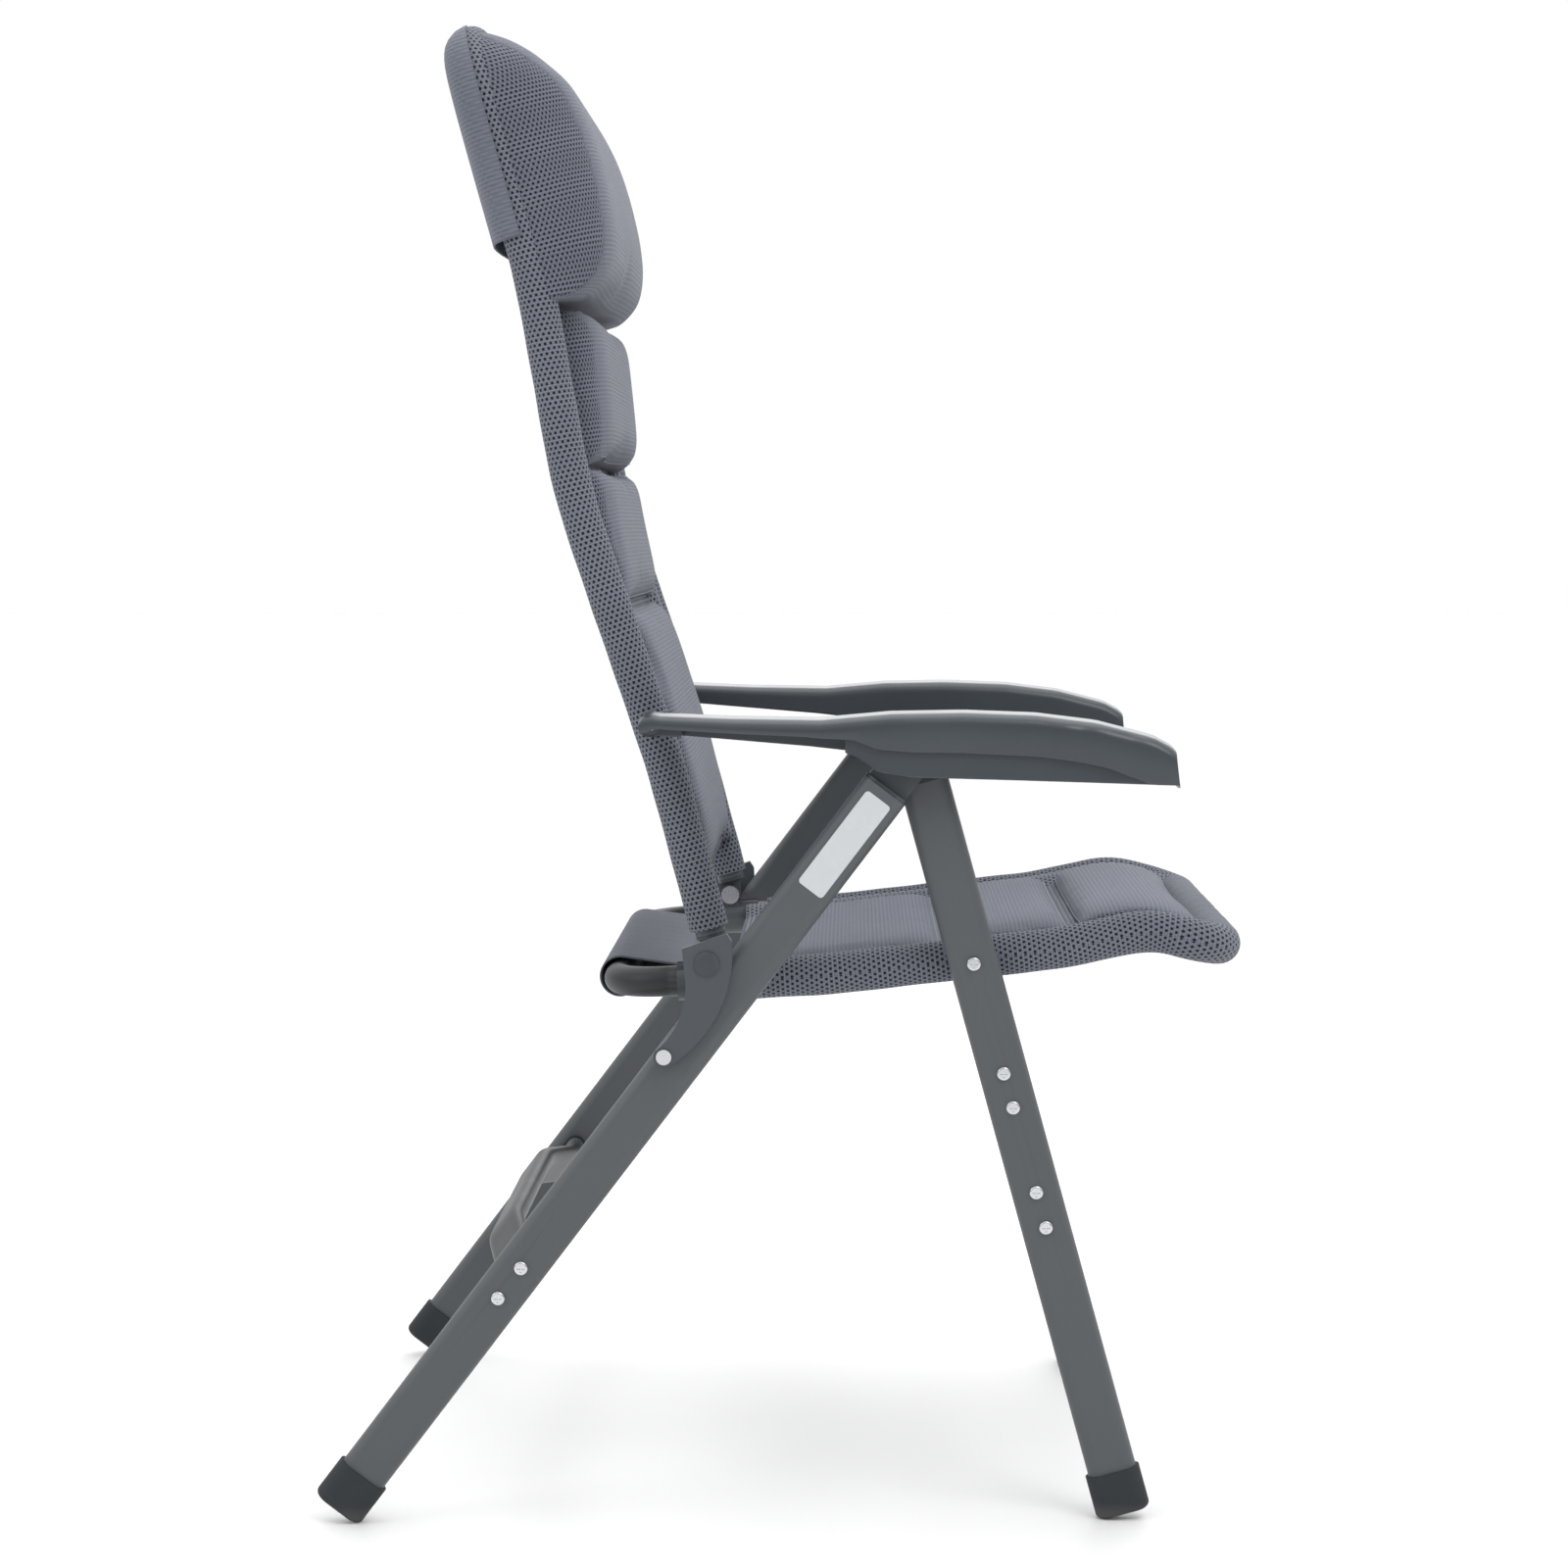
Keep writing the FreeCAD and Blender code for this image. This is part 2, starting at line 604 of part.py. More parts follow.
def make_seat_hardware():
    tube_point = Vector(BACK_PIVOT.x, 0, SEAT_SIDE[0][1])
    rise = (SEAT_SIDE[1][1] - SEAT_SIDE[0][1]) / (SEAT_SIDE[1][0] - SEAT_SIDE[0][0])
    tube_point.z += rise * (BACK_PIVOT.x - SEAT_SIDE[0][0])
    direction = Vector(1, 0, rise).normalize()
    ear_round = 9
    grip_radius, grip_half = 16.2, 27
    ear_half, slot_half = 13, 6.6
    for label, side in SIDES:
        centre = at_y(tube_point, side * dim["tube_y"])
        shell = cylinder(grip_radius, centre - direction * grip_half, centre + direction * grip_half)
        tall = BACK_PIVOT.z - tube_point.z
        ear = Part.makeBox(2 * ear_round, 2 * ear_half, tall, centre - Vector(ear_round, ear_half, 0))
        eye = cross_pin(BACK_PIVOT, ear_round, dim["tube_y"] - ear_half, dim["tube_y"] + ear_half, side)
        bore = cylinder(dim["tube_radius"] + 0.05, centre - direction * 40, centre + direction * 40)
        slot = Part.makeBox(60, 2 * slot_half, 60, centre + Vector(-30, -slot_half, 0))
        pin = cross_pin(BACK_PIVOT, dim["pin_bore"], 200, 260, side)
        knuckle = shell.fuse([ear, eye]).cut(bore.fuse([slot, pin])).removeSplitter()
        feature("seat_knuckle_" + label, knuckle)
    bolts = []
    bolt_head = 8.5
    head_start, head_end, bolt_end = 215.6, 218.8, 247.9
    for label, side in SIDES:
        shank = cross_pin(BACK_PIVOT, dim["pin_radius"], head_end, bolt_end, side)
        head = cross_pin(BACK_PIVOT, bolt_head, head_start, head_end, side)
        bolts.append(shank.fuse(head).removeSplitter())
    feature("back_pivot_bolts", Part.makeCompound(bolts))
    face = dim["front_leg_y"] + dim["leg_thick"] / 2
    inner_face = face - dim["leg_thick"]
    screws = []
    spacers = []
    for label, side in SIDES:
        screw = pan_screw(SEAT_PIVOT, side, face + 0.2, 1)
        shank = cross_pin(SEAT_PIVOT, dim["pin_radius"], 224, face + 0.2, side)
        screws.append(screw.fuse(shank).removeSplitter())
        ring = cross_pin(SEAT_PIVOT, 9, 247.9, inner_face - 0.3, side)
        spacers.append(ring.cut(cross_pin(SEAT_PIVOT, dim["pin_radius"], 220, 270, side)))
    feature("seat_pivot_screws", Part.makeCompound(screws))
    feature("seat_pivot_spacers", Part.makeCompound(spacers))


# --- back hardware ----------------------------------------------------------------------------

def make_back_hardware():
    low = Vector(BACK_SIDE[0][0], 0, BACK_SIDE[0][1])
    up = (Vector(BACK_SIDE[1][0], 0, BACK_SIDE[1][1]) - low).normalize()
    tongue_round, tongue_half = 9, 6
    spigot_long, collar_long = 30, 3
    bush_start, bush_end, arm_end = 226.1, 237.9, 300
    for label, side in SIDES:
        foot = at_y(low, side * dim["tube_y"])
        spigot = cylinder(dim["tube_radius"] - dim["tube_wall"] - 0.1, foot, foot + up * spigot_long)
        collar = cylinder(dim["tube_radius"], foot - up * collar_long, foot)
        tall = BACK_SIDE[0][1] - BACK_PIVOT.z
        blade = Part.makeBox(2 * tongue_round, 2 * tongue_half, tall,
                             Vector(-tongue_round, -tongue_half, 0))
        blade.translate(at_y(BACK_PIVOT, side * dim["tube_y"]))
        eye = cross_pin(BACK_PIVOT, tongue_round, dim["tube_y"] - tongue_half,
                        dim["tube_y"] + tongue_half, side)
        bore = cross_pin(BACK_PIVOT, dim["bush_bore"], 220, 250, side)
        plug = spigot.fuse([collar, blade, eye]).cut(bore).removeSplitter()
        feature("back_plug_" + label, plug)
    bushes = []
    arm_bushes = []
    arm_bolts = []
    for label, side in SIDES:
        ring = cross_pin(BACK_PIVOT, dim["bush_radius"], bush_start, bush_end, side)
        bushes.append(ring.cut(cross_pin(BACK_PIVOT, dim["pin_bore"], 220, 250, side)))
        ring = cross_pin(ARM_PIVOT, dim["arm_bush_radius"], dim["arm_inner_y"] + 0.2, arm_end, side)
        arm_bushes.append(ring.cut(cross_pin(ARM_PIVOT, dim["pin_bore"], 240, 310, side)))
        arm_bolts.append(cross_pin(ARM_PIVOT, dim["pin_radius"], 222, arm_end, side))
    feature("back_bushes", Part.makeCompound(bushes))
    feature("arm_bushes", Part.makeCompound(arm_bushes))
    feature("arm_bolts", Part.makeCompound(arm_bolts))


# --- padding ----------------------------------------------------------------------------------

def station(points, share):
    """Point and front-facing normal at a share of a side outline's length."""
    wire = bent_wire([Vector(x, 0, z) for x, z in points], STATION_BENDS[len(points)])
    parameter = share * wire.Length
    for edge in wire.Edges:
        if parameter <= edge.Length + 1e-6:
            place = edge.getParameterByLength(min(parameter, edge.Length))
            tangent = edge.tangentAt(place)
            return edge.valueAt(place), Vector(tangent.z, 0, -tangent.x)
        parameter -= edge.Length
    raise ValueError("share beyond the outline")


STATION_BENDS = {5: [500, 400, 60], 4: [500, 500]}


def soft_slab(name, points, first, last, front, rear, flip=1, half_width=None):
    """A padded panel between two shares of a side outline, front and rear of the tubes' plane."""
    half = half_width or dim["tube_y"] - dim["sleeve_radius"] - 0.8
    steps = 8
    front_line = []
    rear_line = []
    for step in range(steps + 1):
        share = first + (last - first) * step / steps
        point, normal = station(points, share)
        swell = math.sin(math.pi * step / steps) ** 0.5
        front_line.append(point + normal * flip * (front[0] + (front[1] - front[0]) * swell))
        rear_line.append(point - normal * flip * rear)
    outline = front_line + rear_line[::-1]
    wire = Part.makePolygon(outline + [outline[0]])
    panel = Part.Face(wire).extrude(Vector(0, 2 * half, 0))
    panel.translate(Vector(0, -half, 0))
    return feature(name, panel)


def make_padding():
    seat = SEAT_SIDE
    soft_slab("seat_pad_rear", seat, 0.10, 0.476, (5, 12), 7, -1)
    soft_slab("seat_pad_middle", seat, 0.48, 0.727, (5, 15), 7, -1)
    soft_slab("seat_pad_front", seat, 0.731, 0.915, (5, 17), 7, -1)
    back = BACK_SIDE
    soft_slab("back_pad_lower", back, 0.06, 0.365, (6, 20), 7)
    soft_slab("back_pad_middle", back, 0.369, 0.525, (10, 28), 7)
    soft_slab("back_pad_upper", back, 0.529, 0.70, (10, 30), 7)
    soft_slab("headrest_pad", back, 0.704, 0.935, (30, 76), 7, half_width=205)
    soft_slab("headrest_pocket", back, 0.76, 0.97, (-17, -17), 26, half_width=225)


# --- armrests ---------------------------------------------------------------------------------

ARM_TOP = [(-106, 658.5), (-40, 656), (30, 655), (86, 660), (144, 661), (201, 659), (250, 653),
           (295, 641.5), (313, 632)]
ARM_LOW = [(316, 603), (182, 607), (104, 609), (76, 613), (56, 627), (20, 631), (-106, 641.5)]
ARM_HOLLOW_TOP = [(-88, 653), (-40, 652), (30, 651), (86, 656), (144, 657), (201, 655), (262, 646)]


def side_face(points, y):
    wire = Part.makePolygon([Vector(x, y, z) for x, z in points + points[:1]])
    return Part.Face(wire)


def armrest_shape(side):
    """An open-bottomed channel with a solid eye at its rear end and a closed nose."""
    inner, outer = dim["arm_inner_y"], dim["arm_outer_y"]
    wall = dim["arm_wall"]
    low, high = sorted((side * inner, side * outer))
    body = side_face(ARM_TOP + ARM_LOW, low).extrude(Vector(0, high - low, 0))
    body = body.fuse(cross_pin(ARM_PIVOT, 10, inner, outer, side))
    cavity_low, cavity_high = sorted((side * (inner + wall), side * (outer - wall)))
    floor = [(262, 560), (-88, 560)]
    cavity = side_face(ARM_HOLLOW_TOP + floor, cavity_low)
    cavity = cavity.extrude(Vector(0, cavity_high - cavity_low, 0))
    bore = cross_pin(ARM_PIVOT, dim["arm_bush_bore"], inner - 2, outer - wall, side)
    return body.cut(cavity).cut(bore).removeSplitter()


def rail_shape(side):
    """A rack with rounded notches above the leg axle, fixed inside the armrest."""
    low = TOP.z + dim["rail_lift"]
    start, end = TOP.x - 14, TOP.x + 6 * dim["notch_pitch"] + 12
    inner = dim["arm_inner_y"] + dim["arm_wall"]
    near, far = sorted((side * inner, side * (inner + 9.5)))
    top = [(x, z) for x, z in ARM_HOLLOW_TOP if start < x < end]
    outline = [(start, low), (start, 656 + (start - 86) * 1 / 58)] + top
    outline += [(end, 655 - (end - 201) * 9 / 61), (end, low)]
    rail = side_face(outline, near).extrude(Vector(0, far - near, 0))
    for notch in range(7):
        centre = Vector(TOP.x + notch * dim["notch_pitch"], 0, low - 1)
        rail = rail.cut(cross_pin(centre, dim["notch_radius"], inner - 5, inner + 20, side))
    return rail.removeSplitter()


def make_armrests():
    for label, side in SIDES:
        feature("armrest_" + label, armrest_shape(side))
        feature("notch_rail_" + label, rail_shape(side))


def check_and_export():
    doc.recompute()
    for item in doc.Objects:
        if "Invalid" in item.State or "Error" in item.State:
            raise RuntimeError("failed object: %s %s" % (item.Name, item.State))
    os.makedirs("parts", exist_ok=True)
    for item in nodes:
        if item.Shape.isNull() or not item.Shape.isValid() or item.Shape.Volume <= 0:
            raise RuntimeError("bad shape: " + item.Label)
    for item in nodes:
        item.Shape.exportStep("parts/%s.step" % item.Label)
    print(len(nodes), "nodes written")


make_legs()
make_feet()
make_crossbars()
make_crossbar_fittings()
make_leg_tops()
make_label()
make_links()
make_frames()
make_sleeves()
make_seat_hardware()
make_back_hardware()
make_padding()
make_armrests()
check_and_export()
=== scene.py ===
import json
import math

import bmesh
import bpy
import numpy as np
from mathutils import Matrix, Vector
from mathutils.bvhtree import BVHTree

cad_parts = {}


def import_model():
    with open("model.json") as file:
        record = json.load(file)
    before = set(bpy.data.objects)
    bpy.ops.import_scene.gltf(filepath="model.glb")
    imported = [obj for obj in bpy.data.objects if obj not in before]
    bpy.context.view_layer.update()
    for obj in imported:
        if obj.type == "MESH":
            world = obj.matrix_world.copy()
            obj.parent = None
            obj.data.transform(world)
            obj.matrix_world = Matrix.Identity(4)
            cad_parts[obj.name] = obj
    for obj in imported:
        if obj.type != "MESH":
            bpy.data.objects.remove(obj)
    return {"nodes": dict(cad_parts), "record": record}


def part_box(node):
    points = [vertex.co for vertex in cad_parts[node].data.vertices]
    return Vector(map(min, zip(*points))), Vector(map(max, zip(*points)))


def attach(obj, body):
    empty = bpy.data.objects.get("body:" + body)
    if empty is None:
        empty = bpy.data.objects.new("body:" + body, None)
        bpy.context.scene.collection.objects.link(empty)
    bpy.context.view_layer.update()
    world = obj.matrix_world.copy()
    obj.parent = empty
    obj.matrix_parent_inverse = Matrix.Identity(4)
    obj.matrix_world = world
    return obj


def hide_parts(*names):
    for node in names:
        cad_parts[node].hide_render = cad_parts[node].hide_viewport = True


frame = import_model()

X, Y, Z = 0, 1, 2


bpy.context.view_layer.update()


# --- reading the frame ------------------------------------------------------------------------

def node_edges(name):
    """Both ends of every edge of a CAD node's mesh."""
    mesh = frame["nodes"][name].data
    points = np.empty(len(mesh.vertices) * 3)
    mesh.vertices.foreach_get("co", points)
    points = points.reshape(-1, 3)
    ends = np.empty(len(mesh.edges) * 2, int)
    mesh.edges.foreach_get("vertices", ends)
    ends = ends.reshape(-1, 2)
    return points[ends[:, 0]], points[ends[:, 1]]


def section(name, axis, value, right_of=None):
    """Lowest and highest corner of where a plane across an axis cuts a CAD node."""
    start, end = node_edges(name)
    if right_of is not None:
        kept = np.maximum(start[:, Y], end[:, Y]) < right_of
        start, end = start[kept], end[kept]
    before, after = start[:, axis] - value, end[:, axis] - value
    cut = before * after < 0
    share = (before[cut] / (before[cut] - after[cut]))[:, None]
    hits = start[cut] + (end[cut] - start[cut]) * share
    return hits.min(0), hits.max(0)


def section_middle(name, axis, value, right_of=None):
    low, high = section(name, axis, value, right_of)
    return (low + high) / 2


class Outline:
    """A tube's centre line in the X-Z plane, measured by its length from the start."""

    def __init__(self, points, flip):
        self.points = np.array(points)
        steps = np.linalg.norm(np.diff(self.points, axis=0), axis=1)
        self.lengths = np.concatenate([[0], np.cumsum(steps)])
        self.total = self.lengths[-1]
        self.flip = flip
        self.fine = np.arange(-0.06, self.total + 0.08, 0.0015)
        self.fine_points, self.fine_tangents = self.at(self.fine)

    def raw(self, s):
        """Points at these lengths, with straight ends beyond the line."""
        s = np.asarray(s, float)
        out = np.stack([np.interp(s, self.lengths, self.points[:, k]) for k in (0, 1)], -1)
        first = self.points[1] - self.points[0]
        last = self.points[-1] - self.points[-2]
        first, last = first / np.linalg.norm(first), last / np.linalg.norm(last)
        under = np.minimum(s, 0)[..., None]
        over = np.maximum(s - self.total, 0)[..., None]
        return out + under * first + over * last

    def at(self, s):
        """Points and unit tangents, smoothed over a short run."""
        reach = 0.012
        tangent = self.raw(np.asarray(s) + reach) - self.raw(np.asarray(s) - reach)
        tangent = tangent / np.linalg.norm(tangent, axis=-1, keepdims=True)
        return self.raw(s), tangent

    def place(self, s, y, n):
        """Space points: s along the line, y across, n out of the sitter's side of the tubes."""
        s, y, n = np.broadcast_arrays(np.asarray(s, float), y, n)
        point, tangent = self.at(s)
        normal = np.stack([tangent[..., 1], -tangent[..., 0]], -1) * self.flip
        flat = point + normal * n[..., None]
        return np.stack([flat[..., 0], y, flat[..., 1]], -1)

    def normal(self, s):
        point, tangent = self.at(s)
        return np.array([tangent[1] * self.flip, 0, -tangent[0] * self.flip])

    def find(self, points):
        """s and n of space points."""
        flat = points[:, [X, Z]]
        s = np.empty(len(flat))
        n = np.empty(len(flat))
        for start in range(0, len(flat), 4000):
            part = flat[start:start + 4000]
            gaps = ((part[:, None] - self.fine_points[None]) ** 2).sum(-1)
            near = gaps.argmin(1)
            away = part - self.fine_points[near]
            tangent = self.fine_tangents[near]
            s[start:start + 4000] = self.fine[near] + (away * tangent).sum(1)
            across = away[:, 0] * tangent[:, 1] - away[:, 1] * tangent[:, 0]
            n[start:start + 4000] = across * self.flip
        return s, n


def read_outline(stretches, axis, end_point, flip, lead=0.0, steps=46):
    """Centre line through the right side of these (node, lowest, highest) stretches.

    The sections keep clear of slanted tube ends; lead adds that much straight line at the start.
    """
    middles = []
    for tube, low, high in stretches:
        for value in np.linspace(low, high, steps):
            middles.append(section_middle(tube, axis, value, -0.15)[[X, Z]])
    away = middles[0] - middles[1]
    middles[0] = middles[0] + away / np.linalg.norm(away) * lead
    return Outline(middles + [end_point[[X, Z]]], flip)


TUBE_Y = float((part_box("back_tube_left")[0][Y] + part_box("back_tube_left")[1][Y]) / 2)
TUBE_RADIUS = float(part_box("back_tube_left")[1][Y]) - TUBE_Y
ROLL = TUBE_RADIUS + 0.0031
BACK_CORNER = 0.062
SEAT_CORNER = 0.040
EDGE = 0.002
PANEL = TUBE_Y - ROLL - 0.0005

low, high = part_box("back_tube_right")
back = read_outline([("back_tube_right", low[Z] + 4 * EDGE, high[Z] - 4 * EDGE)], Z,
                    section_middle("back_top_bow", Y, 0.0), 1, 3.1 * EDGE)
low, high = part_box("seat_tube_right")
bow_low, bow_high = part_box("seat_front_bow")
bow_end = bow_high[X] - TUBE_RADIUS - SEAT_CORNER
seat = read_outline([("seat_tube_right", low[X] + EDGE, high[X] - 3 * EDGE),
                     ("seat_front_bow", bow_low[X] + 3 * EDGE, bow_end)], X,
                    section_middle("seat_front_bow", Y, 0.0), -1)


# --- meshes -----------------------------------------------------------------------------------

class Builder:
    """Gathers vertices, faces and the weave's corner coordinates for one piece."""

    def __init__(self):
        self.points, self.faces, self.corners = [], [], []

    def grid(self, rows, weave=None, wrap=False):
        """Faces over rows of points; wrap joins each row's last point to its first."""
        rows = np.asarray(rows)
        tall, wide = rows.shape[:2]
        first = len(self.points)
        self.points.extend(rows.reshape(-1, 3).tolist())
        for i in range(tall - 1):
            for j in range(wide if wrap else wide - 1):
                square = [(i, j), (i, j + 1), (i + 1, j + 1), (i + 1, j)]
                self.faces.append([first + a * wide + b % wide for a, b in square])
                self.corners.append([weave(a, b) if weave else (0, 0) for a, b in square])
        return first

    def cap(self, indices):
        self.faces.append(list(indices))
        self.corners.append([(0, 0)] * len(indices))

    def tube(self, path, radius, sides=20, capped=True):
        """A round tube along a path; radius is a number or one for each point."""
        path = np.asarray(path, float)
        radii = np.broadcast_to(radius, len(path))
        tangents = np.gradient(path, axis=0)
        tangents /= np.linalg.norm(tangents, axis=1, keepdims=True)
        lengths = np.concatenate([[0], np.cumsum(np.linalg.norm(np.diff(path, axis=0), axis=1))])
        side = np.cross(tangents[0], [0.0, 0.0, 1.0])
        if np.linalg.norm(side) < 0.1:
            side = np.cross(tangents[0], [1.0, 0.0, 0.0])
        rows = []
        for point, tangent, size in zip(path, tangents, radii):
            side = side - tangent * side.dot(tangent)
            side /= np.linalg.norm(side)
            other = np.cross(tangent, side)
            angles = np.linspace(0, 2 * np.pi, sides, endpoint=False)
            ring = np.outer(np.cos(angles), side) + np.outer(np.sin(angles), other)
            rows.append(point + ring * size)
        turn = 2 * np.pi * float(np.mean(radii)) / sides
        first = self.grid(rows, lambda a, b: (b * turn, lengths[a]), True)
        if capped:
            self.cap(range(first + sides - 1, first - 1, -1))
            last = first + (len(rows) - 1) * sides
            self.cap(range(last, last + sides))

    def finish(self, name, material, smooth=50):
        mesh = bpy.data.meshes.new(name)
        mesh.from_pydata(self.points, [], self.faces)
        layer = mesh.uv_layers.new(name="weave")
        flat = [value for face in self.corners for corner in face for value in corner]
        layer.data.foreach_set("uv", flat)
        mesh.materials.append(material)
        made = bpy.data.objects.new(name, mesh)
        bpy.context.scene.collection.objects.link(made)
        tidy_normals(made)
        shade(made, smooth)
        return made


def tidy_normals(made):
    work = bmesh.new()
    work.from_mesh(made.data)
    bmesh.ops.recalc_face_normals(work, faces=work.faces)
    work.to_mesh(made.data)
    work.free()


def shade(made, degrees):
    """Smooth shading, kept crisp where faces meet at more than this angle."""
    made.data.shade_smooth()
    made.data.set_sharp_from_angle(angle=math.radians(degrees))


def use(made, modifier):
    """Applies one modifier."""
    bpy.context.view_layer.objects.active = made
    for other in bpy.context.selected_objects:
        other.select_set(False)
    made.select_set(True)
    bpy.ops.object.modifier_apply(modifier=modifier.name)


def settle(made, body, slot, *nodes):
    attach(made, body)
    if nodes:
        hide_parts(*nodes)
    return made


# --- materials --------------------------------------------------------------------------------

def colour(red, green, blue):
    """Linear colour of an 8-bit screen colour."""
    out = []
    for value in (red, green, blue):
        value /= 255
        out.append(value / 12.92 if value <= 0.04045 else ((value + 0.055) / 1.055) ** 2.4)
    return (*out, 1.0)


class Shader:
    """A material's node tree with short ways to add nodes."""

    def __init__(self, name, **fixed):
        self.material = bpy.data.materials.new(name)
        self.material.use_nodes = True
        self.tree = self.material.node_tree
        self.surface = self.tree.nodes["Principled BSDF"]
        for key, value in fixed.items():
            self.surface.inputs[key.replace("_", " ")].default_value = value

    def add(self, kind, inputs=None, out=0, **settings):
        made = self.tree.nodes.new(kind)
        for key, value in settings.items():
            setattr(made, key, value)
        for key, value in (inputs or {}).items():
            self.feed(made.inputs[key], value)
        return made.outputs[out]

    def feed(self, socket, value):
        if isinstance(value, bpy.types.NodeSocket):
            self.tree.links.new(value, socket)
        else:
            socket.default_value = value

    def maths(self, operation, *values):
        return self.add("ShaderNodeMath", dict(enumerate(values)), operation=operation)

    def vector(self, operation, *values, out=0):
        return self.add("ShaderNodeVectorMath", dict(enumerate(values)), out, operation=operation)

    def step(self, value, low, high):
        return self.add("ShaderNodeMapRange", {"Value": value, "From Min": low, "From Max": high},
                        interpolation_type="SMOOTHSTEP")

    def mix(self, share, first, second):
        return self.add("ShaderNodeMix", {0: share, 6: first, 7: second}, 2, data_type="RGBA")

    def place(self):
        return self.add("ShaderNodeTexCoord", out=3)

    def noise(self, scale, detail=3.0, where=None):
        return self.add("ShaderNodeTexNoise",
                        {"Vector": where or self.place(), "Scale": scale, "Detail": detail})

    def end(self, base=None, rough=None, height=None, distance=0.0003, strength=0.5):
        inputs = self.surface.inputs
        if base is not None:
            self.feed(inputs["Base Color"], base)
        if rough is not None:
            self.feed(inputs["Roughness"], rough)
        if height is not None:
            bump = self.add("ShaderNodeBump",
                            {"Height": height, "Distance": distance, "Strength": strength})
            self.tree.links.new(bump, inputs["Normal"])
        return self.material


def range_of(shader, value, low, high):
    return shader.add("ShaderNodeMapRange", {"Value": value, "To Min": low, "To Max": high})


def hole_pattern(shader, weave, pitch, hole):
    """1 in the holes of a staggered mesh and 0 on its threads."""
    root = math.sqrt(3)
    scaled = shader.vector("DIVIDE", weave, (pitch, pitch * root, 1))
    gaps = []
    for shift in (0.0, 0.5):
        cell = shader.vector("FRACTION", shader.vector("ADD", scaled, (shift, shift, 0)))
        centred = shader.vector("SUBTRACT", cell, (0.5, 0.5, 0))
        real = shader.vector("MULTIPLY", centred, (1, root, 0))
        gaps.append(shader.vector("LENGTH", real, out=1))
    return shader.step(shader.maths("MINIMUM", *gaps), hole * 1.25, hole * 0.75)


def fabric(name, light, shade_colour, dark, pitch, hole, open_front, rib=0.0021):
    """Knitted spacer mesh: staggered holes with painted shade in them, ribs between them, a soft
    sheen, and threads painted between a lit and a shaded copy.
    """
    shader = Shader(name, Sheen_Weight=0.12, Sheen_Roughness=0.45, Specular_IOR_Level=0.25)
    weave = shader.add("ShaderNodeUVMap", uv_map="weave")
    split = shader.tree.nodes.new("ShaderNodeSeparateXYZ")
    shader.tree.links.new(weave, split.inputs[0])
    holes = hole_pattern(shader, weave, pitch, hole)
    # The sides of a pad (gusset) get the full painted hole shade and hole bump, its front only
    # the open_front share.
    side = shader.add("ShaderNodeAttribute", attribute_name="gusset", out=2)
    openness = shader.maths("MULTIPLY_ADD", side, 1.0 - open_front, open_front)
    holes = shader.maths("MULTIPLY", holes, openness)
    wave = shader.maths("SINE", shader.maths("MULTIPLY", split.outputs[1], 2 * math.pi / rib))
    wave = shader.maths("MULTIPLY_ADD", wave, 0.5, 0.5)
    knots = shader.maths("SINE", shader.maths("MULTIPLY", split.outputs[0], 2 * math.pi / 0.0014))
    knots = shader.maths("MULTIPLY_ADD", knots, 0.25, 0.25)
    fuzz = shader.noise(900.0)
    broad = shader.noise(9.0)
    # Painted light and shade: the thread colour runs from the shaded copy to the lit one with
    # random tone and across the ribs, so the rib crests are painted lighter.
    painted_light_share = shader.maths("MULTIPLY_ADD", fuzz, 0.35, shader.maths("MULTIPLY", wave, 0.4))
    painted_light_share = shader.maths("MULTIPLY_ADD", broad, 0.35, painted_light_share)
    base = shader.mix(painted_light_share, shade_colour, light)
    # Painted shade: the holes take the near-black hole colour for the shade inside them.
    base = shader.mix(holes, base, dark)
    height = shader.maths("MULTIPLY_ADD", holes, -1.4, shader.maths("ADD", wave, knots))
    rough = range_of(shader, fuzz, 0.72, 0.95)
    return shader.end(base, rough, height, 0.0004, 0.55)


def worn(shader, low, high):
    """1 on a shape's outer edges, where handling wears it."""
    edge = shader.add("ShaderNodeNewGeometry", out=7)
    return shader.step(edge, low, high)


def paint():
    shader = Shader("frame_paint_look", Specular_IOR_Level=0.34, Coat_Weight=0.04,
                    Coat_Roughness=0.3)
    peel = shader.noise(1500.0, 2.0)
    dust = shader.noise(22.0, 5.0)
    base = shader.mix(dust, colour(33, 37, 40), colour(41, 45, 49))
    base = shader.mix(shader.maths("MULTIPLY", worn(shader, 0.53, 0.6), 0.35), base,
                      colour(128, 132, 136))
    rough = range_of(shader, dust, 0.36, 0.52)
    return shader.end(base, rough, peel, 0.00012, 0.35)


def plastic(name, dark, light, rough_low, rough_high, grain=2600.0, depth=0.00006):
    shader = Shader(name, Specular_IOR_Level=0.45)
    speckle = shader.noise(grain, 2.0)
    flow = shader.noise(14.0, 4.0)
    base = shader.mix(flow, dark, light)
    base = shader.mix(shader.maths("MULTIPLY", worn(shader, 0.54, 0.62), 0.25), base,
                      colour(120, 128, 134))
    rough = range_of(shader, flow, rough_low, rough_high)
    return shader.end(base, rough, speckle, depth, 0.4)


def rubber():
    shader = Shader("foot_rubber_look", Specular_IOR_Level=0.3)
    scuff = shader.noise(240.0, 6.0)
    dust = shader.noise(30.0, 4.0)
    low = shader.tree.nodes.new("ShaderNodeSeparateXYZ")
    shader.tree.links.new(shader.place(), low.inputs[0])
    ground = shader.step(low.outputs[2], 0.016, 0.002)
    base = shader.mix(dust, colour(42, 45, 49), colour(54, 58, 62))
    base = shader.mix(shader.maths("MULTIPLY", ground, 0.5), base, colour(96, 94, 90))
    return shader.end(base, range_of(shader, dust, 0.62, 0.85), scuff, 0.00015, 0.5)


